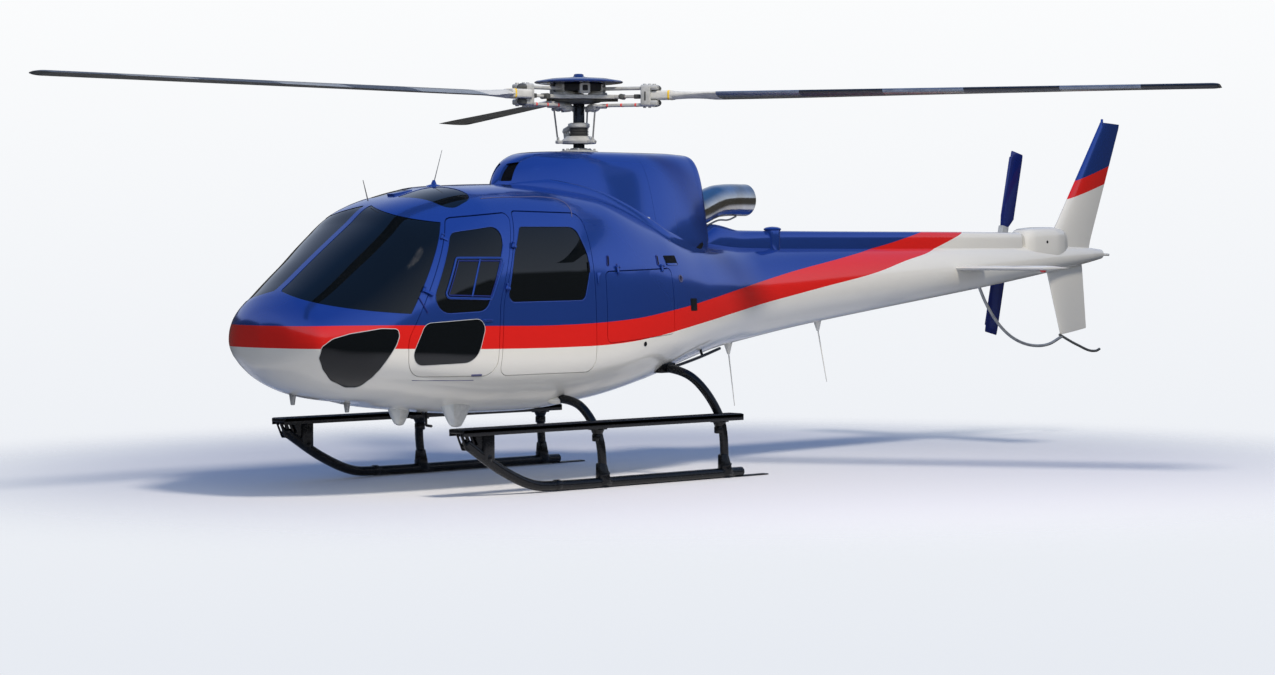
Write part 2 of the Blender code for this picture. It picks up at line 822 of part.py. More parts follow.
def hinge_frames(line):
    """The frame at each knuckle, and how far its arm reaches.

    X runs along the pin, Y over the skin to the door, and Z out of the hull.
    """
    first, second, out, reaches = line
    along = (second - first).normalized()
    to_door = out.cross(along).normalized()
    outward = along.cross(to_door)
    turn = Matrix((along, to_door, outward)).transposed().to_4x4()
    return [
        (Matrix.Translation(at) @ turn, reach) for at, reach in zip((first, second), reaches)
    ]


def hinge_knuckles(line):
    """The door's half of each hinge: a knuckle on the pin, its arm bent down into the door."""
    result = []
    for frame, reach in hinge_frames(line):
        knuckle = rod((-KNUCKLE_HALF, 0, 0), (KNUCKLE_HALF, 0, 0), KNUCKLE_RADIUS, 12)
        arm = box((-ARM_HALF, 0.004, -0.004), (ARM_HALF, reach, 0.005))
        foot = box((-ARM_HALF, reach - ARM_HALF, -HINGE_ROOT), (ARM_HALF, reach, 0.0))
        bore = rod((-0.1, 0, 0), (0.1, 0, 0), PIN_RADIUS + PIN_SLACK, 12)
        leaf = minus(union(knuckle, arm, foot), bore)
        leaf.transform(frame)
        result.append(leaf)
    return result


def hinge_pins(line):
    """The hull's half of each hinge: a lug on the skin that holds the pin."""
    result = []
    for frame, _ in hinge_frames(line):
        pin = rod((-0.030, 0, 0), (KNUCKLE_HALF + 0.002, 0, 0), PIN_RADIUS, 12)
        head = box((-0.034, -0.009, -0.009), (-0.022, 0.012, 0.009))
        foot = box((-0.034, 0.002, -HINGE_ROOT), (-0.022, 0.012, 0.0))
        lug = union(head, foot, pin)
        lug.transform(frame)
        result.append(lug)
    return result


def doors(tools):
    """Cabin and baggage doors, each with its panes, about its own hinge."""
    for side, sign in (("left", 1), ("right", -1)):
        flip = (lambda mesh: mesh) if sign > 0 else mirrored
        front = hinge(f"front_hinge_{side}", FRONT_HINGE, sign)
        rear = hinge(f"rear_hinge_{side}", REAR_HINGE, sign)
        lid = hinge(f"baggage_hinge_{side}", BAGGAGE_HINGE, sign)
        front_windows = (("upper", FRONT_WINDOW), ("lower", LOW_WINDOW))
        plan = (
            (f"front_door_{side}", FRONT_DOOR, FRONT_HINGE, front, front_windows),
            (f"rear_door_{side}", REAR_DOOR, REAR_HINGE, rear, (("upper", REAR_WINDOW),)),
            (f"baggage_door_{side}", BAGGAGE_DOOR, BAGGAGE_HINGE, lid, ()),
        )
        for name, corners, line, pivot, windows in plan:
            top = max(z for _, z, _ in corners)
            dropped = [
                (x, z - DOOR_DROP if top - z < 0.1 else z, radius) for x, z, radius in corners
            ]
            outline = cutter(f"{name}_outline", flip(side_prism(dropped, DOOR_GAP)))
            ops = [("INTERSECT", outline), ("DIFFERENCE", tools["hollow"])]
            for label, window in windows:
                hole = cutter(f"{name}_{label}_opening", flip(side_prism(window)))
                ops.append(("DIFFERENCE", hole))
                pane(f"{name}_{label}_window", side_prism(window, GAP), flip, tools, pivot)
            for number, leaf in enumerate(hinge_knuckles(line), 1):
                ops.append(("UNION", cutter(f"{name}_knuckle_{number}", flip(leaf))))
            add(name, skin(HULL), "blue_paint", pivot, ops)


def fixed_panes(tools):
    def panes(side, flip):
        pane(f"windscreen_{side}", windscreen_block(GAP), flip, tools)
        pane(f"chin_window_{side}", side_prism(CHIN_WINDOW, GAP), flip, tools)
        pane(f"skylight_{side}", prism(rounded(inset(SKYLIGHT, GAP)), "xy", 1.9, 3.0), flip, tools)

    both_sides(panes)


def cabin_inside(tools):
    """Floor, seats and instrument console."""
    floor = box((CABIN_REAR_X + 0.002, -2, FLOOR_Z - 0.03), (2.72, 2, FLOOR_Z))
    add(
        "cabin_floor",
        floor,
        "grey_cloth",
        ops=[("INTERSECT", cutter("floor_edge", skin(HULL, -WALL - GAP)))],
    )

    def front_seat(side, flip):
        back = box((1.40, 0.19, FLOOR_Z + 0.30), (1.50, 0.67, 1.78), 0.03)
        back.transform(
            Matrix.Translation((1.45, 0, 1.1))
            @ Matrix.Rotation(math.radians(-10), 4, "Y")
            @ Matrix.Translation((-1.45, 0, -1.1))
        )
        head = box((1.30, 0.31, 1.74), (1.38, 0.55, 1.94), 0.02)
        cushion = box((1.42, 0.19, FLOOR_Z + 0.22), (1.95, 0.67, FLOOR_Z + 0.36), 0.03)
        base = box((1.48, 0.27, FLOOR_Z + GAP), (1.88, 0.59, FLOOR_Z + 0.25))
        add(f"front_seat_{side}", flip(union(cushion, back, head, base)), "grey_cloth")

    both_sides(front_seat)
    bench = box((0.72, -0.78, FLOOR_Z + 0.18), (1.22, 0.78, FLOOR_Z + 0.34), 0.03)
    rest = box((0.64, -0.70, FLOOR_Z + 0.22), (0.76, 0.70, 1.80), 0.03)
    stand = box((0.70, -0.70, FLOOR_Z + GAP), (1.10, 0.70, FLOOR_Z + 0.22))
    add("rear_bench", union(bench, rest, stand), "grey_cloth")
    panel = box((2.40, -0.30, 1.20), (2.60, 0.30, 1.56), 0.02)
    pedestal = box((2.34, -0.14, FLOOR_Z + GAP), (2.56, 0.14, 1.25), 0.01)
    add("instrument_console", union(panel, pedestal), "black_paint")


def cowlings():
    """The cowlings over the rotor gearbox and the engine, open below and behind."""
    hull = skin(HULL, GAP)
    bay = box((-5, -3, -3), (5, 3, 1.70))
    shaft_hole = rod((0, 0, 2.5), (0, 0, 3.0), 0.165, 24)
    inside = skin(COWL, -COWL_WALL)
    ahead = box((COWL_SPLIT_X, -2, 0), (3, 2, 4))
    behind = box((-4, -2, 0), (COWL_SPLIT_X + 0.002, 2, 4))
    intake = prism(rounded(INTAKE, 2), "xz", -1, 1)
    front = minus(skin(COWL), inside, bay, hull.copy(), behind, shaft_hole, intake)
    add("gearbox_cowling", front, "blue_paint")
    pipe_hole = rod((-0.96, 0, 2.185), (-1.40, 0, 2.185), 0.175, 24)
    rear = minus(skin(COWL), skin(COWL, -COWL_WALL), bay.copy(), hull, ahead, pipe_hole)
    add("engine_cowling", rear, "blue_paint")


def power_train():
    """Rotor gearbox, engine and exhaust pipe under the cowlings."""
    gearbox = union(
        box((-0.24, -0.24, DECK_Z + GAP), (0.24, 0.24, 2.40), 0.03),
        rod((0, 0, 2.38), (0, 0, 2.60), 0.19, 24, 0.12),
    )
    add("rotor_gearbox", gearbox, "grey_metal")
    engine = union(
        rod((-0.36, 0, 2.185), (-1.02, 0, 2.185), 0.21, 20),
        box((-0.95, -0.16, DECK_Z + GAP), (-0.45, 0.16, 2.16)),
    )
    add("engine_block", engine, "grey_metal")
    path = [(x, 0, z) for x, z in PIPE]
    bore = [(x, 0, z) for x, z in (BORE_ENDS[0], *PIPE[1:-1], BORE_ENDS[1])]
    pipe = minus(tube(path, PIPE_RADIUS, 5, 2), tube(bore, PIPE_RADIUS - PIPE_WALL, 5, 2))
    add("exhaust_pipe", pipe, "polished_steel")


def tail():
    """Boom, spine and the fairing round the tail rotor's gearbox."""
    mouth = (BOOM[0][0] + 0.02, *BOOM[0][1:])
    hollow = skin((mouth, *BOOM[1:-1]), -BOOM_WALL, BOOM_SIDES)
    boom = minus(skin(BOOM, sides=BOOM_SIDES), hollow, tail_spar(GAP))
    add("tail_boom", boom, "white_paint")
    vent = rod((-2.30, 0.10, 1.86), (-2.29, 0.085, 2.085), 0.052, 12, 0.072)
    spine = minus(
        union(skin(SPINE, sides=20), vent),
        skin(BOOM, GAP, BOOM_SIDES),
        skin(HULL, GAP),
        box((-8, -1, 0), (0, 1, 1.80)),
    )
    add("drive_shaft_cover", spine, "blue_paint")
    fairing = minus(skin(TAIL_FAIRING, sides=16), skin(BOOM, GAP, BOOM_SIDES))
    stub = rod((-6.20, -0.10, 1.97), (-6.20, -0.34, 1.97), 0.05, 16, 0.035)
    add("tail_gearbox", union(fairing, stub), "blue_paint")


def aerofoil(front, rear, thickness, steps=FIN_STEPS):
    """A symmetric section between two points in the plane y = 0, as a ring of points."""
    front, rear = Vector(front), Vector(rear)
    chord = rear - front
    ring = []
    for i in range(2 * steps):
        share = 0.5 - 0.5 * math.cos(math.pi * (i if i <= steps else 2 * steps - i) / steps)
        side = 1 if i <= steps else -1
        half = 5 * thickness * (
            0.2969 * math.sqrt(share) - 0.126 * share - 0.3516 * share**2
            + 0.2843 * share**3 - 0.1015 * share**4
        )
        ring.append((front + chord * share, side * (half if i % steps else 0.0)))
    return ring


def wing(stations, across):
    """A loft of aerofoils; stations are (front, rear, thickness) and across is the thick way."""
    rings = []
    for front, rear, thickness in stations:
        ring = aerofoil(front, rear, thickness)
        rings.append([point + Vector(across) * off for point, off in ring])
    return loft(rings)


def fin(stations):
    """An upright aerofoil surface in the plane of symmetry."""
    rows = [((a[0], 0, a[1]), (b[0], 0, b[1]), thickness) for a, b, thickness in stations]
    return wing(rows, (0, 1, 0))


def tail_spar(grow):
    """The bar that carries the stabiliser through the boom."""
    height = STABILISER[0][1]
    return rod((SPAR_X, -0.3, height), (SPAR_X, 0.3, height), SPAR_RADIUS + grow, 12)


def tail_surfaces():
    """Fins, stabiliser, and the guard below the tail rotor."""
    boom = skin(BOOM, GAP, BOOM_SIDES)
    add("upper_fin", minus(fin(UPPER_FIN), boom, skin(TAIL_FAIRING, GAP, 16)), "blue_paint")
    add("lower_fin", minus(fin(LOWER_FIN), boom.copy()), "white_paint")
    (front_x, front_z), (rear_x, rear_z), thickness = STABILISER
    tips = [
        ((front_x, y, front_z), (rear_x, y, rear_z), thickness)
        for y in (-STABILISER_SPAN, STABILISER_SPAN)
    ]
    halves = minus(wing(tips, (0, 0, 1)), boom.copy())
    add("stabiliser", union(halves, tail_spar(0.0)), "white_paint")
    guard = tube([(x, 0, z) for x, z in GUARD], 0.016, 1, 3)
    tail_skid = tube([(x, 0, z) for x, z in TAIL_SKID], 0.014, 1, 3)
    add("tail_guard", minus(union(guard, tail_skid), boom.copy()), "grey_metal")


def board_seats(x, y):
    """The collar and bracket under each footboard, on a cross tube's two legs."""
    seats = []
    for across in (y, -y):
        low = (x - 0.075, across - 0.04, 0.462)
        high = (x + 0.075, across + 0.04, BOARD_Z - GAP)
        seats.append(rod((x, across, 0.37), (x, across, 0.43), 0.045, 12))
        seats.append(box(low, high))
        seats.append(rod((x, across, 0.42), (x, across, 0.47), LEG_RADIUS, 12, 0.06))
    return seats


def ground_gear():
    """Skid tubes, footboards and the two cross tubes."""

    def side_gear(side, flip):
        y = HALF_TRACK
        sockets = (front_leg(FIT), rear_leg(FIT))
        skid = tube([(x, y, z) for x, z in SKID_PATH], SKID_RADIUS, 2, 3)
        heel = box((-1.09, y - 0.035, 0.0), (-0.70, y + 0.035, 0.012))
        shoes = [
            rod((leg[0][0], y, 0.03), (leg[0][0] + 0.02, y - 0.01, 0.20), 0.068, 12, 0.042)
            for leg in (FRONT_LEG, REAR_LEG)
        ]
        bracket = prism([Vector(p) for p in TOE_BRACKET], "xz", y - 0.028, y + 0.028)
        post = rod((2.05, y, 0.30), (2.05, y, BOARD_Z - GAP), 0.05, 12)
        slots = []
        for step in TOE_SLOT_STEPS:
            slot = [Vector((x - step, z)) for x, z in TOE_SLOT]
            slots.append(prism(slot, "xz", y - 0.2, y + 0.2))
        joined = minus(union(skid, heel, *shoes, bracket, post), *slots, *sockets)
        add(f"landing_skid_{side}", flip(joined), "black_paint")
        board = box((-0.75, y - 0.10, BOARD_Z), (2.35, y + 0.07, BOARD_Z + 0.035), 0.008)
        add(f"footboard_{side}", flip(minus(board, front_leg(FIT), rear_leg(FIT))), "black_paint")

    both_sides(side_gear)
    add("front_cross_tube", union(front_leg(), *board_seats(0.84, 1.112)), "black_paint")
    add("rear_cross_tube", union(rear_leg(), *board_seats(-0.555, 1.115)), "black_paint")


def main_rotor():
    """Mast, star, cap, sleeves, blades and swashplate, which turn about the mast."""
    pivot = empty("main_rotor_axis", (0, 0, ROTOR_Z), AIRFRAME)
    centre = (0, 0, ROTOR_Z)
    mast = rod((0, 0, MAST_FOOT_Z), (0, 0, ROTOR_Z - 0.06), MAST_RADIUS, 16)
    add("rotor_mast", mast, "dark_steel", pivot)
    arms = []
    for angle in BLADE_ANGLES:
        arm = box((0.08, -0.05, ROTOR_Z - 0.02), (0.58, 0.05, ROTOR_Z + 0.01))
        arms.append(turn_about(arm, (0, 0, 0), angle))
    add("rotor_star", union(turned(STAR_PLATE, centre, 24), *arms), "grey_metal", pivot)
    add("rotor_cap", turned(CAP_DOME, centre, 24), "blue_paint", pivot)
    for number, angle in enumerate(BLADE_ANGLES, 1):
        sleeve = turn_about(blade_sleeve(), (0, 0, 0), angle)
        blade = turn_about(main_blade(), (0, 0, 0), angle)
        add(f"blade_sleeve_{number}", sleeve, "grey_metal", pivot)
        add(f"main_blade_{number}", blade, "grey_blade", pivot)
    add("rotating_swashplate", swashplate(), "grey_metal", pivot)


def blade_sleeve():
    """The two beams that carry a blade, with the bearing, ball, heel and pitch horn on them."""
    z = ROTOR_Z
    top = box((0.15, -0.045, z + 0.045), (0.70, 0.045, z + 0.08))
    bearing = box((0.155, -0.055, z + 0.04), (0.215, 0.055, z + 0.105))
    low = box((0.24, -0.040, z - 0.105), (0.70, 0.040, z - 0.072))
    ball = rod((0.235, -0.05, z - 0.085), (0.235, 0.03, z - 0.085), 0.038, 12)
    heel = box((0.555, -0.07, z - 0.105), (0.70, 0.07, z + 0.095))
    horn = box((0.155, -0.15, z - 0.10), (0.245, 0.03, z - 0.075))
    arm_slot = box((0.545, -0.05 - GAP, z - 0.02 - GAP), (0.58 + GAP, 0.05 + GAP, z + 0.01 + GAP))
    blade_slot = box((0.62, -0.3, z - 0.034), (0.76, 0.3, z + 0.034))
    return minus(union(top, bearing, low, ball, heel, horn), arm_slot, blade_slot)


def main_blade():
    """A blade along +X whose leading edge lies on the -Y side, raised by its pitch."""
    rows = []
    for radius, chord, thickness, pitch in BLADE:
        across, up = chord * math.cos(math.radians(pitch)), chord * math.sin(math.radians(pitch))
        front = (radius, -0.28 * across, ROTOR_Z + 0.28 * up)
        rear = (radius, 0.72 * across, ROTOR_Z - 0.72 * up)
        rows.append((front, rear, thickness))
    return wing(rows, (0, 0, 1))


def swashplate():
    """The turning rings round the mast, their lever, and a pitch link up to each sleeve's horn."""
    hole = rod((0, 0, 2.7), (0, 0, 3.1), MAST_RADIUS + GAP, 16)
    rings = minus(turned(SWASHPLATE, (0, 0, 0), 16), hole)
    x, y = LINK_AT
    links = []
    for angle in BLADE_ANGLES:
        link = rod((x, y, 2.812), (x, y, ROTOR_Z - 0.10 - GAP), LINK_RADIUS, 8)
        ear = box((0.08, -0.14, 2.804), (x + 0.02, -0.09, 2.832))
        links += [turn_about(link, (0, 0, 0), angle), turn_about(ear, (0, 0, 0), angle)]
    lever = prism([Vector(p) for p in LEVER], "xz", -0.02, 0.02)
    shank = box((0.122, -0.018, 2.81), (0.148, 0.018, 2.925))
    levers = [turn_about(piece, (0, 0, 0), LEVER_ANGLE) for piece in (lever, shank)]
    return union(rings, *links, *levers)


def mast_base():
    """The fixed collar that stands on the gearbox and passes through the cowling."""
    hole = rod((0, 0, 2.5), (0, 0, 3.2), MAST_RADIUS + 0.008, 16)
    add("mast_collar", minus(turned(MAST_COLLAR, (0, 0, 0), 16), hole), "grey_metal")


def tail_rotor():
    """The two-bladed tail rotor on the starboard side of the boom."""
    pivot = empty("tail_rotor_axis", TAIL_ROTOR, AIRFRAME)
    x, y, z = TAIL_ROTOR
    hub = union(
        rod((x, y + 0.1097, z), (x, y - 0.05, z), 0.032, 16),
        box((x - 0.05, y - 0.03, z - 0.16), (x + 0.05, y + 0.03, z + 0.16), 0.01),
    )
    hub = turn_about(hub, (x, y, z), TAIL_BLADE_TILT, "Y")
    add("tail_rotor_hub", hub, "grey_metal", pivot)
    for number, sign in enumerate((1, -1), 1):
        stations = [
            ((x + ahead, y, z + sign * reach), (x - behind, y, z + sign * reach), thickness)
            for reach, ahead, behind, thickness in TAIL_BLADE
        ]
        blade = turn_about(wing(stations, (0, 1, 0)), (x, y, z), TAIL_BLADE_TILT, "Y")
        add(f"tail_rotor_blade_{number}", blade, "blue_paint", pivot)


clear_scene()
PARTS = new_collection("helicopter")
CUTTERS = new_collection("cutters", helper=True)
MATERIALS = {name: new_finish(name) for name in FINISHES}
AIRFRAME = empty("mast_station", (MAST_X, 0, 0))
TOOLS = shared_cutters()
hull_pieces(TOOLS)
doors(TOOLS)
fixed_panes(TOOLS)
cabin_inside(TOOLS)
cowlings()
power_train()
tail()
tail_surfaces()
ground_gear()
mast_base()
main_rotor()
tail_rotor()
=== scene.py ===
"""The finish of a light single-engine helicopter that stands on its landing skids.

Shapes are worked out in the mast's frame: metres, +X ahead, +Y to port, +Z up, x = 0 on the
rotor mast. They are moved into the frame of the solids when their mesh is made.
"""

import json
import math

import bmesh
import bpy
import numpy as np
from mathutils import Matrix, Vector


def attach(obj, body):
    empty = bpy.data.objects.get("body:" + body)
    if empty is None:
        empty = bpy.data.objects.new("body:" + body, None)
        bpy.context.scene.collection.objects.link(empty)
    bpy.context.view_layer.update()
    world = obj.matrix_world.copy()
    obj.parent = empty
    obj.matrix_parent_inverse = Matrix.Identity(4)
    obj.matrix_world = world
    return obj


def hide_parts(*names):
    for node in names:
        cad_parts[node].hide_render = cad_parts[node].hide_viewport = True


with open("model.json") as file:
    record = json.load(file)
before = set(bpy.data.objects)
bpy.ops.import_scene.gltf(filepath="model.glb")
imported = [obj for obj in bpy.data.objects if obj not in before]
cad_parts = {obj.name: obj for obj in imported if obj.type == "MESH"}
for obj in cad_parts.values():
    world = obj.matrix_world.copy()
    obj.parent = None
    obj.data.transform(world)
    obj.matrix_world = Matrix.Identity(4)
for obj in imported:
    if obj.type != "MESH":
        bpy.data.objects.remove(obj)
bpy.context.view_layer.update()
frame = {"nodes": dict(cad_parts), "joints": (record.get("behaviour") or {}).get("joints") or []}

JOINTS = {joint["name"]: joint for joint in frame["joints"]}
MAST_X, _, ROTOR_Z = JOINTS["main_rotor_turn"]["pos_m"]
TAIL_HUB = np.array(JOINTS["tail_rotor_turn"]["pos_m"]) - (MAST_X, 0.0, 0.0)
HALF_TRACK = 1.14
BOARD_Z = 0.50
FLOOR_Z = 0.80

# Camera: its place, and the angles that solve the picture.
CAMERA_AT = (18.1796, 18.4058, 1.9224)
CAMERA_HEADING = math.radians(-133.980)
CAMERA_PITCH = math.radians(-1.7369)
CAMERA_ROLL = math.radians(-0.1838)
CAMERA_LENS = 83.55

# Skin
SKIN_SIDES = 112
SKIN_STEPS = 12
WALL = 0.035
PANE_INSET = 0.004
PANE_BACK = 0.012
DOOR_GAP = 0.006
DOOR_DROP = 0.004
FIT = 0.0003
CABIN_REAR_X = 0.62

# Body sections from nose to tail: station, half width, lowest z, z of the widest point,
# highest z, and the exponents that square the lower and the upper half.
BODY = (
    (3.368, 0.011, 1.22, 1.23, 1.237, 2.0, 2.0), (3.36, 0.102, 1.142, 1.23, 1.319, 2.0, 2.0),
    (3.332, 0.332, 1.029, 1.22, 1.433, 2.1, 2.1), (3.245, 0.56, 0.94, 1.21, 1.55, 2.0, 2.1),
    (3.077, 0.675, 0.83, 1.20, 1.68, 2.3, 2.2), (2.82, 0.80, 0.745, 1.19, 1.88, 2.4, 2.25),
    (2.50, 0.885, 0.70, 1.18, 2.12, 2.5, 2.6), (2.327, 0.905, 0.663, 1.175, 2.25, 2.5, 2.7),
    (2.05, 0.925, 0.63, 1.17, 2.345, 2.6, 2.9), (1.60, 0.935, 0.59, 1.17, 2.43, 2.7, 3.1),
    (1.00, 0.935, 0.585, 1.17, 2.45, 2.7, 3.1), (0.35, 0.915, 0.645, 1.20, 2.41, 2.6, 3.0),
    (-0.30, 0.83, 0.76, 1.26, 2.25, 2.4, 2.7), (-0.90, 0.68, 0.90, 1.35, 2.06, 2.2, 2.4),
    (-1.45, 0.52, 1.02, 1.43, 1.97, 2.1, 2.2), (-1.90, 0.41, 1.09, 1.51, 1.94, 2.0, 2.0),
    (-2.60, 0.335, 1.195, 1.56, 1.93, 2.0, 2.0), (-3.60, 0.275, 1.32, 1.625, 1.93, 2.0, 2.0),
    (-5.40, 0.20, 1.535, 1.735, 1.935, 2.0, 2.0), (-6.30, 0.155, 1.655, 1.795, 1.935, 2.0, 2.0),
    (-7.00, 0.085, 1.755, 1.83, 1.91, 2.0, 2.0), (-7.23, 0.045, 1.795, 1.843, 1.89, 2.0, 2.0)
)
TAIL_JOINT_ROW = 15

# Cowlings over gearbox and engine, in the same columns, then the share by which the top is
# narrower than the widest point.
COWL = (
    (0.985, 0.03, 2.20, 2.30, 2.455, 2.0, 2.4, 0.0), (0.95, 0.09, 2.00, 2.25, 2.51, 2.0, 2.6, 0.1),
    (0.88, 0.19, 1.90, 2.20, 2.595, 2.0, 2.8, 0.2), (0.78, 0.30, 1.80, 2.15, 2.665, 2.0, 3.2, 0.28),
    (0.62, 0.41, 1.75, 2.10, 2.715, 2.0, 3.8, 0.31), (0.40, 0.50, 1.70, 2.05, 2.73, 2.0, 4.4, 0.32),
    (0.00, 0.57, 1.65, 2.00, 2.735, 2.0, 5.0, 0.32), (-0.40, 0.60, 1.60, 2.00, 2.735, 2.0, 5.0, 0.30),
    (-0.80, 0.54, 1.60, 2.00, 2.735, 2.0, 5.0, 0.27), (-1.00, 0.49, 1.60, 2.00, 2.728, 2.0, 5.0, 0.25),
    (-1.07, 0.473, 1.60, 2.00, 2.723, 2.0, 5.2, 0.25), (-1.086, 0.466, 1.60, 2.00, 2.713, 2.0, 5.2, 0.25),
    (-1.09, 0.45, 1.61, 2.00, 2.69, 2.0, 5.0, 0.25)
)
COWL_WALL = 0.02
COWL_SPLIT_X = -0.36

# Spine over the tail drive shaft, and fairing round the tail gearbox, in the body's columns.
SPINE = (
    (-1.10, 0.16, 1.70, 1.90, 2.025, 2.4, 3.0), (-1.36, 0.16, 1.70, 1.90, 2.05, 2.4, 3.0),
    (-1.56, 0.155, 1.70, 1.90, 2.13, 2.4, 3.2), (-1.90, 0.13, 1.70, 1.90, 2.075, 2.4, 4.0),
    (-2.60, 0.11, 1.75, 1.90, 2.07, 2.4, 5.0), (-5.84, 0.10, 1.80, 1.90, 2.06, 2.4, 5.0),
    (-5.86, 0.09, 1.80, 1.90, 2.045, 2.4, 5.0)
)
TAIL_FAIRING = (
    (-5.90, 0.095, 1.74, 1.90, 2.05, 2.6, 3.4), (-5.93, 0.120, 1.71, 1.91, 2.085, 2.8, 3.6),
    (-6.02, 0.143, 1.70, 1.92, 2.105, 3.0, 4.0), (-6.32, 0.150, 1.70, 1.92, 2.115, 3.0, 4.0),
    (-6.48, 0.125, 1.72, 1.92, 2.105, 2.8, 3.4), (-6.60, 0.075, 1.75, 1.90, 2.085, 2.4, 2.6)
)
# Lamp fairings under the belly: centre, half length, half width and depth.
LAMP_FAIRINGS = ((1.84, 0.538, 0.68, 0.13, 0.09, 0.175), (2.065, 0.109, 0.64, 0.09, 0.07, 0.13))

# Outlines seen from the side, as (x, z, corner radius).
FRONT_DOOR = (
    (2.06, 2.165, 0.10), (1.445, 2.215, 0.05), (1.705, 1.50, 0.50), (1.735, 0.915, 0.14), (2.58, 0.93, 0.16),
    (2.60, 1.22, 0.25)
)
FRONT_WINDOW = (
    (2.08, 2.045, 0.10), (1.60, 2.105, 0.08), (1.62, 1.95, 0.10), (1.85, 1.43, 0.12), (2.42, 1.41, 0.12)
)
LOW_WINDOW = ((2.44, 1.345, 0.09), (1.84, 1.375, 0.08), (1.95, 1.03, 0.17), (2.60, 1.015, 0.09))
REAR_DOOR = (
    (1.415, 2.225, 0.05), (0.68, 2.21, 0.10), (0.665, 0.915, 0.10), (1.705, 0.915, 0.08), (1.675, 1.50, 0.50)
)
REAR_WINDOW = (
    (1.40, 2.095, 0.05), (0.80, 2.095, 0.10), (0.70, 1.80, 0.40), (0.80, 1.50, 0.07), (1.64, 1.495, 0.06),
    (1.52, 1.88, 0.50)
)
BAGGAGE_DOOR = ((0.55, 1.735, 0.05), (-0.32, 1.755, 0.05), (-0.32, 1.20, 0.06), (0.55, 1.14, 0.06))
CHIN_WINDOW = (
    (3.213, 1.09, 0.05), (3.216, 1.175, 0.04), (3.15, 1.235, 0.10), (3.024, 1.275, 0.20),
    (2.804, 1.311, 0.20), (2.675, 1.306, 0.03), (2.667, 1.25, 0.05), (2.69, 1.185, 0.20),
    (2.762, 1.062, 0.20), (2.822, 0.934, 0.15), (2.858, 0.855, 0.04), (2.935, 0.856, 0.10),
    (3.069, 0.917, 0.20), (3.158, 1.004, 0.15)
)
SLIDING_PANE = ((2.094, 1.847, 0.03), (1.63, 1.845, 0.03), (1.789, 1.525, 0.03), (2.249, 1.539, 0.03))
SLIDING_BAR = ((1.873, 1.836), (1.989, 1.545))
# Outline seen from ahead, as (y, z, corner radius), and from the side the edge it runs aft to.
WINDSCREEN = ((0.035, 1.598, 0.02), (0.99, 1.392, 0.03), (0.99, 2.06, 0.03), (0.03, 2.27, 0.02))
PILLAR_EDGE = (
    (2.086, 2.165, 0.03), (2.575, 1.394, 0.03), (4.0, 1.2, 0.03), (4.0, 2.6, 0.03), (2.086, 2.60, 0.03)
)
# Outline seen from above, as (x, y, corner radius).
SKYLIGHT = ((2.12, 0.12, 0.07), (1.70, 0.06, 0.12), (1.68, 0.58, 0.12), (1.98, 0.64, 0.12))
# Intake in the gearbox cowling, seen from ahead, as (y, z, corner radius).
INTAKE = ((0.045, 2.475, 0.01), (0.135, 2.475, 0.01), (0.125, 2.635, 0.01), (0.035, 2.62, 0.01))

# Hinge lines on the port side: two knuckles, the way out of the hull, and each arm's reach.
HINGES = {
    "front_door": (
        "door_front", (2.169, 0.764, 2.011), (2.439, 0.868, 1.603), (0.21, 0.89, 0.40), (0.056, 0.088)
    ),
    "rear_door": (
        "door_rear", (1.532, 0.880, 1.942), (1.645, 0.934, 1.613), (0.0, 0.98, 0.15), (0.037, 0.037)
    ),
    "baggage_door": (
        "lid_baggage", (-0.185, 0.808, 1.774), (0.409, 0.896, 1.768), (-0.08, 0.97, 0.215), (0.052, 0.058)
    )
}

# Painted stripe: where its upper and lower edges run along the machine, as (x, z).
STRIPE_TOP = (
    (3.40, 1.332), (2.82, 1.336), (1.82, 1.314), (1.05, 1.306), (0.28, 1.335), (-0.24, 1.392), (-1.06, 1.506),
    (-1.78, 1.618), (-2.36, 1.716), (-3.09, 1.826), (-3.74, 1.932), (-4.32, 2.056), (-4.70, 2.13),
    (-5.10, 2.20)
)
STRIPE_BOTTOM = (
    (3.40, 1.162), (2.82, 1.157), (1.82, 1.133), (0.94, 1.127), (0.50, 1.136), (0.02, 1.176), (-0.52, 1.25),
    (-1.06, 1.322), (-1.85, 1.432), (-2.76, 1.571), (-3.45, 1.68), (-3.97, 1.795), (-4.38, 1.874),
    (-4.75, 1.987), (-5.10, 2.12)
)
STRIPE_X = (-5.10, 3.40)
STRIPE_Z = (1.0, 2.2)
# Bands on the upper fin: each edge as its height at x = -7.0 and its slope.
FIN_BLUE = (2.636, -0.281)
FIN_WHITE = (2.479, -0.260)
FIN_DATUM_X = -7.0

# Aerofoil surfaces: leading edge and trailing edge as (x, z), and thickness.
UPPER_FIN = (
    ((-6.30, 1.84), (-7.02, 1.84), 0.10), ((-6.44, 2.06), (-7.06, 1.98), 0.090),
    ((-6.52, 2.16), (-7.10, 2.08), 0.082), ((-7.20, 3.14), (-7.53, 3.12), 0.037),
    ((-7.225, 3.18), (-7.54, 3.165), 0.030)
)
LOWER_FIN = (
    ((-6.30, 1.86), (-6.90, 1.86), 0.06), ((-6.36, 1.67), (-6.93, 1.70), 0.06),
    ((-6.57, 1.055), (-6.995, 1.11), 0.032), ((-6.585, 1.04), (-6.99, 1.095), 0.022)
)
STABILISER = ((-4.68, 1.72), (-5.10, 1.72), 0.045)
STABILISER_SPAN = 1.265

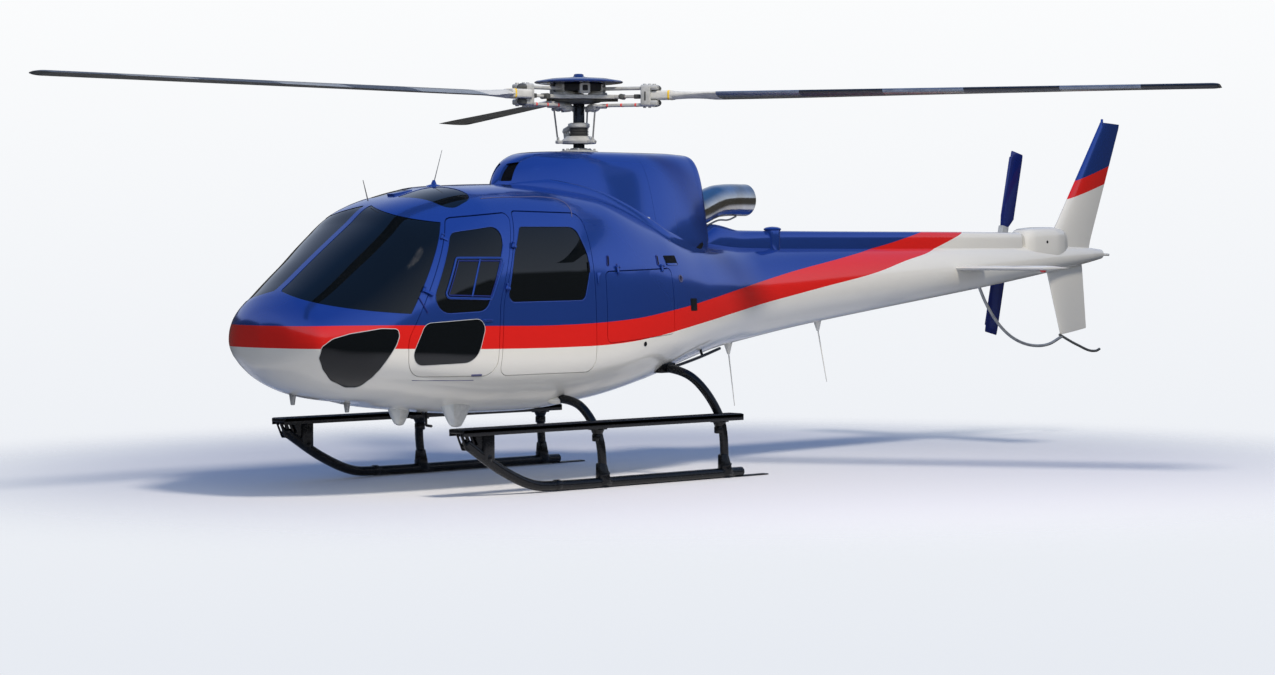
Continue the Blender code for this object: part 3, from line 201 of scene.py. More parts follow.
# Cross tubes from the port foot to the middle, as (x, y, z), and the skid tube as (x, z).
FRONT_LEG = ((0.80, HALF_TRACK, 0.06), (0.84, 1.11, 0.44), (0.865, 0.96, 0.635), (0.875, 0.55, 0.71))
REAR_LEG = ((-0.60, HALF_TRACK, 0.06), (-0.55, 1.11, 0.53), (-0.43, 0.93, 0.83), (-0.34, 0.50, 0.93))
LEG_RADIUS = 0.036
SKID_RADIUS = 0.041
SKID_PATH = (
    (-0.80, 0.041), (0.40, 0.041), (1.12, 0.041), (1.30, 0.043), (1.52, 0.055), (1.88, 0.19), (2.14, 0.345),
    (2.27, 0.43)
)
TOE_BRACKET = ((2.335, 0.50, 0.004), (2.275, 0.365, 0.02), (2.12, 0.365, 0.02), (2.08, 0.50, 0.004))
TOE_SLOT = ((2.311, 0.478, 0.006), (2.277, 0.405, 0.006), (2.249, 0.405, 0.006), (2.283, 0.478, 0.006))

# Main blade stations: distance from the mast, chord, thickness and pitch in degrees.
BLADE = (
    (0.6203, 0.14, 0.078, 0.0), (0.76, 0.14, 0.078, 0.0), (0.86, 0.17, 0.068, 2.0), (1.01, 0.27, 0.050, 5.0),
    (1.16, 0.35, 0.042, 7.0), (3.00, 0.35, 0.042, 4.5), (5.285, 0.35, 0.042, 1.5), (5.33, 0.335, 0.034, 1.5),
    (5.345, 0.312, 0.024, 1.5)
)
BLADE_AHEAD = 0.28
BLADE_ROOT = 1.22
# Dark bands on the upper side, as (from, to) along the blade.
BLADE_BANDS = ((1.93, 2.63), (3.30, 4.08), (4.73, 5.345))
BLADE_ANGLES = (0.0, 120.0, 240.0)
LEVER_ANGLE = 267.0
# Foot and head of a pitch link, as (x, y) on the blade at zero degrees.
LINK_AT = (0.150, -0.097)
HORN_AT = (0.180, -0.116)

# Turned parts on the mast, as (radius, z).
COLLAR = (
    (0.060, 2.6003), (0.095, 2.6003), (0.120, 2.655), (0.156, 2.698), (0.160, 2.705), (0.160, 2.738),
    (0.156, 2.743), (0.120, 2.751), (0.078, 2.756), (0.072, 2.766), (0.052, 2.768)
)
LOWER_RING = (
    (0.05, 2.803), (0.140, 2.803), (0.147, 2.808), (0.150, 2.826), (0.146, 2.832), (0.108, 2.866),
    (0.05, 2.868)
)
UPPER_RING = (
    (0.05, 2.938), (0.086, 2.940), (0.092, 2.946), (0.092, 2.968), (0.088, 2.974), (0.072, 2.980),
    (0.05, 2.980)
)
# Bellows: lowest and highest z, smallest and largest radius, number of folds.
BELLOWS = (2.864, 2.942, 0.073, 0.085, 6)
STAR_HUB = ((0.04, 3.1405), (0.10, 3.1405), (0.175, 3.151), (0.20, 3.162), (0.20, 3.172), (0.04, 3.175))
DRUM = ((0.03, 3.245), (0.21, 3.245), (0.22, 3.252), (0.22, 3.300), (0.212, 3.307), (0.03, 3.3095))
CAP = (
    (0.02, 3.3105), (0.325, 3.3105), (0.368, 3.316), (0.3755, 3.321), (0.374, 3.327), (0.36, 3.334),
    (0.25, 3.352), (0.10, 3.363), (0.052, 3.369), (0.042, 3.378), (0.040, 3.390), (0.030, 3.395),
    (0.012, 3.396)
)

# Middle line of the exhaust pipe, as (x, z).
PIPE = (
    (-1.0203, 2.185), (-1.16, 2.185), (-1.27, 2.205), (-1.40, 2.245), (-1.56, 2.307), (-1.64, 2.33),
    (-1.73, 2.34), (-2.02, 2.345)
)
PIPE_RADIUS = 0.142
PIPE_WALL = 0.005

# Middle lines of the tail guard and its hook, as (x, z).
GUARD = (
    (-5.28, 1.57), (-5.40, 1.38), (-5.56, 1.20), (-5.80, 1.035), (-6.10, 0.945), (-6.40, 0.95), (-6.60, 1.02)
)
TAIL_SKID = ((-6.56, 1.04), (-6.85, 0.93), (-7.12, 0.86), (-7.17, 0.862), (-7.225, 0.88))


# Shapes as arrays


def hermite(values, slopes, i, h, t):
    """Cubic from values and slopes at both ends of pieces i, h long, at the shares t."""
    start = (1 + 2 * t) * (1 - t) ** 2 * values[i] + t * (1 - t) ** 2 * h * slopes[i]
    return start + t**2 * (3 - 2 * t) * values[i + 1] + t**2 * (t - 1) * h * slopes[i + 1]


def pchip(knots, values, at):
    """Monotone cubic curve: Hermite pieces whose slopes are harmonic means of the chords'."""
    knots, values, at = (np.asarray(a, float) for a in (knots, values, at))
    steps = np.diff(knots)
    upright = (-1, *[1] * (values.ndim - 1))
    chords = np.diff(values, axis=0) / steps.reshape(upright)
    before, after = chords[:-1], chords[1:]
    w1 = (2 * steps[1:] + steps[:-1]).reshape(upright)
    w2 = (steps[1:] + 2 * steps[:-1]).reshape(upright)
    with np.errstate(divide="ignore", invalid="ignore"):
        mean = (w1 + w2) / (w1 / before + w2 / after)
    slopes = np.concatenate([chords[:1], np.where(before * after > 0, mean, 0.0), chords[-1:]])
    i = np.clip(np.searchsorted(knots, at) - 1, 0, len(steps) - 1)
    h = steps[i].reshape(upright)
    t = ((at - knots[i]) / steps[i]).reshape(upright)
    return hermite(values, slopes, i, h, t)


def fine_rows(table, steps=SKIN_STEPS):
    """A table of sections refined along its length, by a monotone curve over the way travelled."""
    rows = np.array(table, float)
    travel = np.concatenate([[0.0], np.cumsum(np.linalg.norm(np.diff(rows[:, :5], axis=0), axis=1))])
    pieces = [np.linspace(a, b, steps, endpoint=False) for a, b in zip(travel, travel[1:])]
    return pchip(travel, rows, np.concatenate([*pieces, travel[-1:]]))


def round_turn(sides):
    """Angles of a ring's points: 2 pi k / sides."""
    return 2 * math.pi * np.arange(sides) / sides


def rings(rows, inset=0.0, sides=SKIN_SIDES):
    """Superellipse sections: y = half |cos a|^(2/p), z = middle + reach |sin a|^(2/p), drawn in by inset.

    An eighth column narrows the upper half: y times one less the narrowing times the share risen.
    """
    x, half, low, middle, high, power_low, power_high, *narrowing = (column[:, None] for column in rows.T)
    angle = round_turn(sides)
    across, up = np.cos(angle), np.sin(angle)
    power = 2 / np.where(up >= 0, power_high, power_low)
    reach = np.where(up >= 0, high - middle, middle - low)
    y = np.maximum(half - inset, 0.004) * np.sign(across) * np.abs(across) ** power
    rise = np.sign(up) * np.abs(up) ** power
    if narrowing:
        y = y * (1 - narrowing[0] * np.maximum(rise, 0.0))
    z = middle + np.maximum(reach - inset, 0.004) * rise
    return np.stack(np.broadcast_arrays(x, y, z), -1)


def shell(grid, closed=False, finish=0):
    """A skin over a grid of rings. Its ends are closed by a fan to their middle, or it closes on itself."""
    grid = np.asarray(grid, float)
    count, sides = grid.shape[:2]
    points = grid.reshape(-1, 3)
    index = np.arange(count * sides).reshape(count, sides)
    here, there = (index, np.roll(index, -1, 0)) if closed else (index[:-1], index[1:])
    quads = np.stack([here, np.roll(here, -1, 1), np.roll(there, -1, 1), there], -1).reshape(-1, 4)
    tris = np.zeros((0, 3), int)
    if not closed:
        middles = np.stack([grid[0].mean(0), grid[-1].mean(0)])
        points = np.concatenate([points, middles])
        first, last = index[0], index[-1]
        low = np.stack([np.roll(first, -1), first, np.full(sides, len(points) - 2)], -1)
        high = np.stack([last, np.roll(last, -1), np.full(sides, len(points) - 1)], -1)
        tris = np.concatenate([low, high])
    return {"points": points, "quads": quads, "tris": tris, "finish": finish}


def joined(forms):
    """Several forms as one set of arrays, with each face's finish."""
    shift = np.cumsum([0] + [len(form["points"]) for form in forms])
    points = np.concatenate([form["points"] for form in forms])
    quads = np.concatenate([form["quads"] + at for form, at in zip(forms, shift)])
    tris = np.concatenate([form["tris"] + at for form, at in zip(forms, shift)])
    split = [len(form["quads"]) for form in forms]
    per_face = [np.broadcast_to(form["finish"], n + len(form["tris"])) for form, n in zip(forms, split)]
    finish = np.concatenate(
        [f[:n] for f, n in zip(per_face, split)] + [f[n:] for f, n in zip(per_face, split)]
    )
    return points, quads, tris, finish


def as_mesh(name, forms):
    """A mesh in the frame of the solids, from forms in the mast's frame."""
    points, quads, tris, finish = joined(forms)
    points = points + (MAST_X, 0.0, 0.0)
    mesh = bpy.data.meshes.new(name)
    mesh.vertices.add(len(points))
    mesh.vertices.foreach_set("co", points.astype(np.float32).ravel())
    corners = np.concatenate([quads.ravel(), tris.ravel()])
    starts = np.concatenate([4 * np.arange(len(quads)), 4 * len(quads) + 3 * np.arange(len(tris))])
    mesh.loops.add(len(corners))
    mesh.loops.foreach_set("vertex_index", corners.astype(np.int32))
    mesh.polygons.add(len(starts))
    mesh.polygons.foreach_set("loop_start", starts.astype(np.int32))
    mesh.polygons.foreach_set("material_index", finish.astype(np.int32))
    mesh.update(calc_edges=True)
    mesh.validate()
    bm = bmesh.new()
    bm.from_mesh(mesh)
    bmesh.ops.remove_doubles(bm, verts=bm.verts, dist=1e-6)
    bmesh.ops.recalc_face_normals(bm, faces=bm.faces)
    bm.to_mesh(mesh)
    bm.free()
    return mesh


def rounded(corners, steps=8):
    """An outline whose corners are arcs: each centre lies radius / sin(half angle) in from its corner."""
    outline = []
    corners = np.array(corners, float)
    for before, (u, v, radius), after in zip(np.roll(corners, 1, 0), corners, np.roll(corners, -1, 0)):
        here = np.array((u, v))
        back = (before[:2] - here) / np.linalg.norm(before[:2] - here)
        onward = (after[:2] - here) / np.linalg.norm(after[:2] - here)
        half = math.acos(np.clip(back @ onward, -1, 1)) / 2
        reach = radius / math.tan(half)
        middle = (back + onward) / np.linalg.norm(back + onward)
        centre = here + middle * radius / math.sin(half)
        start, end = here + back * reach - centre, here + onward * reach - centre
        swing = math.atan2(start[0] * end[1] - start[1] * end[0], start @ end)
        angle = swing * np.arange(steps + 1) / steps
        turn = np.stack([np.cos(angle), np.sin(angle)], -1)
        outline.append(centre + np.stack([turn @ (start * (1, -1)), turn @ start[::-1]], -1))
    return np.concatenate(outline)


def drawn_in(outline, by):
    """An outline moved inwards: each point plus by times the normal of the chord of its neighbours."""
    outline = np.asarray(outline, float)
    along = np.roll(outline, -1, 0) - np.roll(outline, 1, 0)
    along /= np.maximum(np.linalg.norm(along, axis=1, keepdims=True), 1e-9)
    inward = np.stack([-along[:, 1], along[:, 0]], -1)
    area = (outline[:, 0] * np.roll(outline[:, 1], -1) - outline[:, 1] * np.roll(outline[:, 0], -1)).sum()
    return outline + inward * by * (1 if area > 0 else -1)


AXES = {"xz": (0, 2, 1), "yz": (1, 2, 0), "xy": (0, 1, 2)}


def flat(outline, plane, depth):
    """Points of an outline drawn in a plane, at one depth across it."""
    u, v, w = AXES[plane]
    points = np.zeros((len(outline), 3))
    points[:, u], points[:, v], points[:, w] = outline[:, 0], outline[:, 1], depth
    return points


def slab(outline, plane, low, high, edge=0.0, finish=0):
    """An outline pushed from low to high across its plane, its rims rounded over by edge."""
    if not edge:
        return shell([flat(outline, plane, low), flat(outline, plane, high)], finish=finish)
    turn = np.linspace(0, math.pi / 2, 4)
    ins = edge * (1 - np.sin(turn))
    ups = edge * (1 - np.cos(turn))
    stack = [flat(drawn_in(outline, i), plane, low + u) for i, u in zip(ins, ups)]
    stack += [flat(drawn_in(outline, i), plane, high - u) for i, u in zip(ins[::-1], ups[::-1])]
    return shell(stack, finish=finish)


def block(low, high, edge=0.004, corner=0.008, plane="xy", finish=0):
    """A box between two corners: a rectangle with arcs at its corners, pushed up with rounded rims."""
    u, v, w = AXES[plane]
    ends = ((low[u], low[v]), (high[u], low[v]), (high[u], high[v]), (low[u], high[v]))
    return slab(rounded([(*end, corner) for end in ends], 4), plane, low[w], high[w], edge, finish)


def curve_through(points, steps=8):
    """A smooth path through points: cubic pieces whose slopes are central differences."""
    points = np.array(points, float)
    travel = np.concatenate([[0.0], np.cumsum(np.linalg.norm(np.diff(points, axis=0), axis=1))])
    slopes = np.gradient(points, travel, axis=0)
    at = np.concatenate(
        [*[np.linspace(a, b, steps, endpoint=False) for a, b in zip(travel, travel[1:])], travel[-1:]]
    )
    i = np.clip(np.searchsorted(travel, at, side="right") - 1, 0, len(points) - 2)
    h = (travel[i + 1] - travel[i])[:, None]
    t = ((at - travel[i]) / h[:, 0])[:, None]
    return hermite(points, slopes, i, h, t)


def sweep(path, radius, sides=20, up=(0.0, 0.0, 1.0), flatten=1.0, closed=False, finish=0):
    """A ring carried along a path: centre + r (cos a N + flatten sin a B), N and B square to the path."""
    path = np.array(path, float)
    radius = np.broadcast_to(np.asarray(radius, float), (len(path),))
    if closed:
        along = np.roll(path, -1, 0) - np.roll(path, 1, 0)
    else:
        along = np.gradient(path, axis=0)
    along /= np.linalg.norm(along, axis=1, keepdims=True)
    side = np.cross(along, up)
    side /= np.maximum(np.linalg.norm(side, axis=1, keepdims=True), 1e-9)
    top = np.cross(side, along)
    angle = round_turn(sides)
    across, upward = np.cos(angle)[None, :, None], flatten * np.sin(angle)[None, :, None]
    ring = across * side[:, None] + upward * top[:, None]
    return shell(path[:, None] + radius[:, None, None] * ring, closed=closed, finish=finish)


END_STEPS = 4


def round_ends(path, radius):
    """A path and radii whose ends are rounded over, for sweep: the radius shrinks as r cos a."""
    path = np.array(path, float)
    radius = np.broadcast_to(np.asarray(radius, float), (len(path),)).copy()
    first = (path[0] - path[1]) / np.linalg.norm(path[0] - path[1])
    last = (path[-1] - path[-2]) / np.linalg.norm(path[-1] - path[-2])
    turn = np.linspace(0, math.pi / 2, END_STEPS + 1)[:-1]
    head = path[0] + first * (radius[0] * 0.5) * (np.cos(turn)[:, None] - 1)
    tail = path[-1] + last * (radius[-1] * 0.5) * (np.sin(turn + math.pi / 2 / END_STEPS)[:, None] - 1)
    path = np.concatenate([head, path[1:-1], tail])
    swell = np.concatenate([radius[0] * np.sin(turn + 0.2), radius[1:-1], radius[-1] * np.cos(turn + 0.1)])
    return path, swell


def rod(start, end, radius, end_radius=None, sides=20, finish=0):
    """A straight bar or cone: a ring whose radius runs evenly from end to end, drawn in at each rim."""
    start, end = np.array(start, float), np.array(end, float)
    end_radius = radius if end_radius is None else end_radius
    length = np.linalg.norm(end - start)
    rim = min(0.18 * min(radius, end_radius) + 0.0005, 0.2 * length)
    at = np.array((0.0, 0.3 * rim, rim, length - rim, length - 0.3 * rim, length)) / length
    size = radius + (end_radius - radius) * at
    size = size - rim * np.array((1.0, 0.3, 0.0, 0.0, 0.3, 1.0))
    upright = abs((end - start)[2]) > 0.9 * length
    path = start + (end - start) * at[:, None]
    return sweep(path, size, sides, (1, 0, 0) if upright else (0, 0, 1), finish=finish)


def turned(profile, centre=(0, 0, 0), axis="z", sides=64, finish=0):
    """A profile of (radius, height) carried round Z or X: (r cos a, r sin a, h)."""
    radius, height = np.array(profile, float).T
    angle = round_turn(sides)
    ring = np.stack([np.cos(angle), np.sin(angle)], -1)
    flat_points = radius[:, None, None] * ring[None]
    up = np.broadcast_to(height[:, None, None], flat_points.shape[:2] + (1,))
    grid = np.concatenate([flat_points, up], -1)
    if axis == "x":
        grid = np.stack([grid[..., 2], grid[..., 0], grid[..., 1]], -1)
    return shell(grid + np.array(centre, float), finish=finish)


def ball(centre, radii, sides=24, finish=0):
    """An ellipsoid from its two angles: radii times (cos b cos a, cos b sin a, sin b)."""
    rise = np.linspace(-math.pi / 2 + 0.06, math.pi / 2 - 0.06, sides // 2)
    angle = round_turn(sides)
    grid = np.stack(
        [
            np.cos(rise)[:, None] * np.cos(angle), np.cos(rise)[:, None] * np.sin(angle),
            np.broadcast_to(np.sin(rise)[:, None], (len(rise), sides))
        ],
        -1
    )
    return shell(grid * np.array(radii) + np.array(centre, float), finish=finish)


def moved(form, matrix=None, by=(0, 0, 0)):
    """A form whose points are turned by a matrix, then shifted: M p + by."""
    points = form["points"]
    if matrix is not None:
        points = points @ np.array(matrix, float).T
    return {**form, "points": points + np.array(by, float)}


def about_z(forms, degrees):
    """Forms turned round the mast: (x cos a - y sin a, x sin a + y cos a)."""
    a = math.radians(degrees)
    turn = ((math.cos(a), -math.sin(a), 0), (math.sin(a), math.cos(a), 0), (0, 0, 1))
    return [moved(form, turn) for form in forms]


def mirrored(forms):
    """The same forms on the starboard side: y changes its sign."""
    return [moved(form, ((1, 0, 0), (0, -1, 0), (0, 0, 1))) for form in forms]


AEROFOIL_STEPS = 28


def aerofoil(front, rear, thickness):
    """A symmetric section: half thickness is the usual root and cubic of the share of the chord."""
    share = 0.5 - 0.5 * np.cos(np.pi * np.arange(AEROFOIL_STEPS + 1) / AEROFOIL_STEPS)
    half = 5 * thickness * (
        0.2969 * np.sqrt(share) - 0.126 * share - 0.3516 * share**2 + 0.2843 * share**3 - 0.1015 * share**4
    )
    share = np.concatenate([share, share[-2:0:-1]])
    half = np.concatenate([half, -half[-2:0:-1]])
    front, rear = np.array(front, float), np.array(rear, float)
    return front + (rear - front) * share[:, None], half


def wing(stations, across):
    """A skin over aerofoils: the chord's points plus or minus half the thickness across.

    Stations are (front, rear, thickness), and across is the thick way.
    """
    grid = []
    for front, rear, thickness in stations:
        line, half = aerofoil(front, rear, thickness)
        grid.append(line + half[:, None] * np.array(across, float))
    return shell(grid)


# Finishes


def linear(code):
    """An sRGB hex colour as linear light, with alpha."""
    parts = [int(code[i : i + 2], 16) / 255 for i in (1, 3, 5)]
    return (*[c / 12.92 if c <= 0.04045 else ((c + 0.055) / 1.055) ** 2.4 for c in parts], 1.0)


def node(tree, kind, settings=None, links=None, **values):
    """Adds a node, sets its attributes, its unlinked sockets by name, and its links."""
    made = tree.nodes.new(kind)
    for key, value in (settings or {}).items():
        setattr(made, key, value)
    for key, value in values.items():
        made.inputs[key.replace("_", " ")].default_value = value
    for key, source in (links or {}).items():
        tree.links.new(source, made.inputs[key])
    return made


def new_material(name, colour, roughness, metallic=0.0, **sockets):
    """A Principled material; returns it with its tree and shader."""
    material = bpy.data.materials.new(name)
    material.use_nodes = True
    tree = material.node_tree
    shader = tree.nodes["Principled BSDF"]
    shader.inputs["Base Color"].default_value = linear(colour)
    shader.inputs["Roughness"].default_value = roughness
    shader.inputs["Metallic"].default_value = metallic
    for key, value in sockets.items():
        shader.inputs[key.replace("_", " ")].default_value = value
    return material, tree, shader


def place_of(tree):
    """Where a point is on the piece, in metres."""
    return node(tree, "ShaderNodeTexCoord").outputs["Object"]


def axes_of(tree):
    """The same place as three sockets, named X, Y and Z."""
    return node(tree, "ShaderNodeSeparateXYZ", links={"Vector": place_of(tree)}).outputs


def grain(tree, scale, detail=3.0, roughness=0.55, place=None):
    """Noise over the piece's own place, or another, scale in cycles a metre."""
    links = {"Vector": place or place_of(tree)}
    made = node(tree, "ShaderNodeTexNoise", {}, links, Scale=scale, Detail=detail, Roughness=roughness)
    return made.outputs["Fac"]


def spread(tree, source, low, high, least=0.3, most=0.7):
    """A value that runs evenly from low to high as its source runs from least to most."""
    ends = dict(From_Min=least, From_Max=most, To_Min=low, To_Max=high)
    return node(tree, "ShaderNodeMapRange", links={"Value": source}, **ends).outputs["Result"]


def bump(tree, shader, height, distance, strength=1.0):
    """Relief: the normal leans by the slope of the height, which spans the distance in metres."""
    made = node(tree, "ShaderNodeBump", links={"Height": height}, Distance=distance, Strength=strength)
    tree.links.new(made.outputs["Normal"], shader.inputs["Normal"])
    return made


def mix(tree, share, first, second):
    """Colours mixed by a share; each is a hex code or a socket."""
    made = node(tree, "ShaderNodeMix", {"data_type": "RGBA"}, {"Factor": share})
    for slot, value in (("A", first), ("B", second)):
        socket = next(s for s in made.inputs if s.name == slot and s.type == "RGBA")
        if isinstance(value, str):
            socket.default_value = linear(value)
        else:
            tree.links.new(value, socket)
    return next(s for s in made.outputs if s.type == "RGBA")


def maths(tree, operation, first, second):
    """One sum of two values; each is a number or a socket."""
    made = node(tree, "ShaderNodeMath", {"operation": operation})
    for socket, value in zip(made.inputs, (first, second)):
        if isinstance(value, (int, float)):
            socket.default_value = value
        else:
            tree.links.new(value, socket)
    return made.outputs[0]


BLUE, RED, WHITE = "#274A9E", "#C81C18", "#D3D3CD"
METAL_FLAKE = 0.62


def enamel(name, colour, flake=0.0):
    """Polyurethane enamel, sprayed and cured: a deep colour under a glossy clear skin.

    Aluminium flake in the blue makes it brighten and darken with what it mirrors, and the long
    waves of a hand-faired skin bend the reflections.
    """
    material, tree, shader = new_material(
        name, colour, 0.16, flake, Coat_Weight=0.4, Coat_Roughness=0.03, Coat_IOR=1.5
    )
    bump(tree, shader, grain(tree, 1.7, 2.0), 0.005, 0.3)
    return material, tree, shader


def edge_height(tree, along, knots):
    """Height of a stripe's edge at a place along the machine, by a float curve."""
    made = node(tree, "ShaderNodeFloatCurve", links={"Value": along})
    curve = made.mapping.curves[0]
    (low_x, high_x), (low_z, high_z) = STRIPE_X, STRIPE_Z
    share = [((x - low_x) / (high_x - low_x), (z - low_z) / (high_z - low_z)) for x, z in sorted(knots)]
    curve.points[0].location = share[0]
    curve.points[1].location = share[-1]
    for u, v in share[1:-1]:
        curve.points.new(u, v)
    made.mapping.update()
    return spread(tree, made.outputs["Value"], low_z, high_z, 0.0, 1.0)


def striped_enamel():
    """Three sprayed coats on the body: blue above, a red stripe that climbs to the tail, white below."""
    material, tree, shader = enamel("striped_polyurethane_enamel", BLUE)
    at = axes_of(tree)
    along = spread(tree, at["X"], 0.0, 1.0, STRIPE_X[0] + MAST_X, STRIPE_X[1] + MAST_X)
    above = maths(tree, "GREATER_THAN", at["Z"], edge_height(tree, along, STRIPE_TOP))
    below = maths(tree, "LESS_THAN", at["Z"], edge_height(tree, along, STRIPE_BOTTOM))
    colour = mix(tree, below, mix(tree, above, RED, BLUE), WHITE)
    tree.links.new(colour, shader.inputs["Base Color"])
    tree.links.new(maths(tree, "MULTIPLY", above, METAL_FLAKE), shader.inputs["Metallic"])
    return material


def fin_enamel():
    """The same enamel on the upper fin, in slanted bands."""
    material, tree, shader = enamel("banded_polyurethane_enamel", WHITE)
    at = axes_of(tree)
    away = maths(tree, "SUBTRACT", at["X"], FIN_DATUM_X + MAST_X)
    shares = []
    for height, slope in (FIN_BLUE, FIN_WHITE):
        line = maths(tree, "ADD", maths(tree, "MULTIPLY", away, slope), height)
        shares.append(maths(tree, "GREATER_THAN", at["Z"], line))
    colour = mix(tree, shares[1], WHITE, mix(tree, shares[0], RED, BLUE))
    tree.links.new(colour, shader.inputs["Base Color"])
    tree.links.new(maths(tree, "MULTIPLY", shares[0], METAL_FLAKE), shader.inputs["Metallic"])
    return material


def plain(
    name, colour, roughness, metallic=0.0, scale=60.0, change=0.12, depth=0.0003, second=None, **sockets
):
    """A finish with a slow change of tone and roughness and a fine relief, at a scale in cycles a metre."""
    material, tree, shader = new_material(name, colour, roughness, metallic, **sockets)
    noise = grain(tree, scale)
    low, high = max(roughness - change, 0.02), min(roughness + change, 1.0)
    tree.links.new(spread(tree, noise, low, high), shader.inputs["Roughness"])
    if second:
        patches = spread(tree, grain(tree, scale / 5), 0.0, 1.0)
        tree.links.new(mix(tree, patches, colour, second), shader.inputs["Base Color"])
    if depth:
        bump(tree, shader, noise, depth, 0.6)
    return material


def woven_cloth(name, colour, second, thread_mm):
    """Flat-woven upholstery: two sets of threads cross, drawn four times as coarse as they are to show."""
    material, tree, shader = new_material(name, colour, 0.9, Sheen_Weight=0.35, Sheen_Roughness=0.5)
    turns = 2 * math.pi * 1000 / (4 * thread_mm)
    at = axes_of(tree)
    waves = []
    for axis in ("X", "Y", "Z"):
        waves.append(maths(tree, "SINE", maths(tree, "MULTIPLY", at[axis], turns), 0.0))
    weave = maths(tree, "MULTIPLY", waves[0], maths(tree, "ADD", waves[1], waves[2]))
    shade = spread(tree, weave, 0.0, 1.0, -1.5, 1.5)
    tree.links.new(mix(tree, shade, colour, second), shader.inputs["Base Color"])
    bump(tree, shader, shade, 0.0012, 0.7)
    return material


def laminate():
    """Glass-fibre blade skin under grey lacquer: half gloss, with worn patches along its length."""
    material, tree, shader = new_material(
        "lacquered_glass_fibre", "#3A3D42", 0.30, Coat_Weight=0.35, Coat_Roughness=0.12
    )
    worn = spread(tree, grain(tree, 2.5, 5.0), 0.0, 1.0)
    specks = spread(tree, grain(tree, 45.0), 0.0, 0.5)
    colour = mix(tree, worn, "#3A3D42", "#65665F")
    tree.links.new(mix(tree, specks, colour, "#494B4C"), shader.inputs["Base Color"])
    tree.links.new(spread(tree, grain(tree, 30.0), 0.22, 0.42), shader.inputs["Roughness"])
    return material


# Finishes with an even tone: real name, colour, roughness, metallic, then what plain() takes.
EVEN_FINISHES = {
    # Navy-black and slightly wavy, with half-gloss highlights along the tubes.
    "black": (
        "black_epoxy_powder_coat", "#030406", 0.24, 0.0,
        dict(
            scale=90, change=0.07, second="#06080C", Coat_Weight=0.12, Coat_Roughness=0.1,
            Specular_IOR_Level=0.3
        )
    ),
    # Grit in the boards' paint, drawn at 4 mm so that it shows: black, and dull from every side.
    "tread": ("gritted_deck_paint", "#0C0D12", 0.75, 0.0, dict(scale=250, depth=0.0015, second="#15171D")),
    # A bright mirror with a straw tint in patches, where the gas heats it.
    "steel": (
        "polished_stainless_steel", "#D3D5D6", 0.14, 1.0, dict(scale=25, change=0.05, second="#B9B2A6")
    ),
    # Deep matt black inside the pipe.
    "soot": ("sooted_steel", "#1B1917", 0.85, 0.0, dict(scale=60, second="#2A2723")),
    # Light grey with a soft, grainy sheen.
    "casting": ("shot_peened_aluminium", "#A9ACAB", 0.42, 0.3, dict(scale=140, second="#C0C2C0")),
    # Darker grey, stained by oil; on the sleeves' dampers, which are light grey, it is painted shade.
    "dark_casting": ("oiled_magnesium_casting", "#4A4C4B", 0.45, 0.3, dict(scale=100, second="#5B5D5B")),
    # Near black with a cold glint.
    "mast": ("phosphated_steel", "#202328", 0.26, 0.8, dict(scale=60, second="#3A3F46")),
    # Dull charcoal of elastic bearings; on the drum under the cap it is painted shade.
    "dark": ("graphite_elastomer", "#161719", 0.5, 0.0, dict(scale=80, second="#242527")),
    # Black grips with a faint bloom.
    "rubber": ("neoprene_rubber", "#17181A", 0.6, 0.0, dict(scale=120, depth=0.0004)),
    # The same rubber weathered to mid grey.
    "bellows": ("grey_neoprene_bellows", "#4B4D4E", 0.6, 0.0, dict(scale=120, depth=0.0004)),
    # Pale grey primer at the blades' roots, half matt.
    "blade_root": ("primed_glass_fibre", "#BFC1BF", 0.42, 0.0, dict(scale=60, second="#AEB0AE")),
    # A metal line along the leading edge, scoured by rain; its bluish tint is a painted reflection of the
    # sky.
    "edge_strip": ("rolled_titanium_strip", "#8B96A6", 0.35, 0.8, dict(scale=40, second="#727D8E")),
    # Dark bands across the blades, so that they flicker when they turn.
    "blade_band": ("navy_blade_lacquer", "#0A101B", 0.42, 0.0, dict(scale=40, change=0.06, second="#101827")),
    # Index bands on the rotor head.
    "yellow": ("yellow_marking_lacquer", "#D8B53A", 0.4, 0.0, dict(scale=60)),
    "red_mark": ("red_marking_lacquer", "#CF4A48", 0.4, 0.0, dict(scale=60)),
    # Matt dark grey with a fine moulded grain, in the cabin.
    "liner": ("moulded_grey_trim", "#2B2D31", 0.75, 0.0, dict(scale=200, depth=0.0005)),
    # Short loops that swallow the light.
    "carpet": ("loop_carpet", "#222427", 0.95, 0.0, dict(scale=400, depth=0.002, second="#2E3034")),
    # Black panels with a faint sheen.
    "console": ("black_abs_panel", "#111213", 0.55, 0.0, dict(scale=300, depth=0.0004)),
    # Matt black faces of the round gauges.
    "dial": ("matt_dial_card", "#0A0A0B", 0.8, 0.0, dict(scale=200, depth=0.0)),
    # Silver-grey tube with a soft metallic line.
    "grey_tube": ("satin_steel_tube", "#9DA0A0", 0.35, 0.5, dict(scale=80, second="#83868A")),
    # A pale grey sealant line round the panes that sit in white skin, also on the cowlings' catches; round
    # the panes its pale tone is partly a painted highlight along the paint's edge.
    "seal": ("pale_grey_sealant", "#B4B7B6", 0.45, 0.0, dict(scale=150)),
    # A dark blue-grey on gutters, seam lines and plugs; on the rain gutter, which is blue like the body, and
    # on the door's seam line it is painted shade.
    "brown_seal": ("weathered_sealant", "#4E5072", 0.5, 0.0, dict(scale=150)),
    # Near black: painted shade inside ducts, slots, recesses and holes, where the light does not reach.
    "black_hole": ("black_inside_of_a_duct", "#050506", 0.9, 0.0, dict(scale=50, depth=0.0)),
}


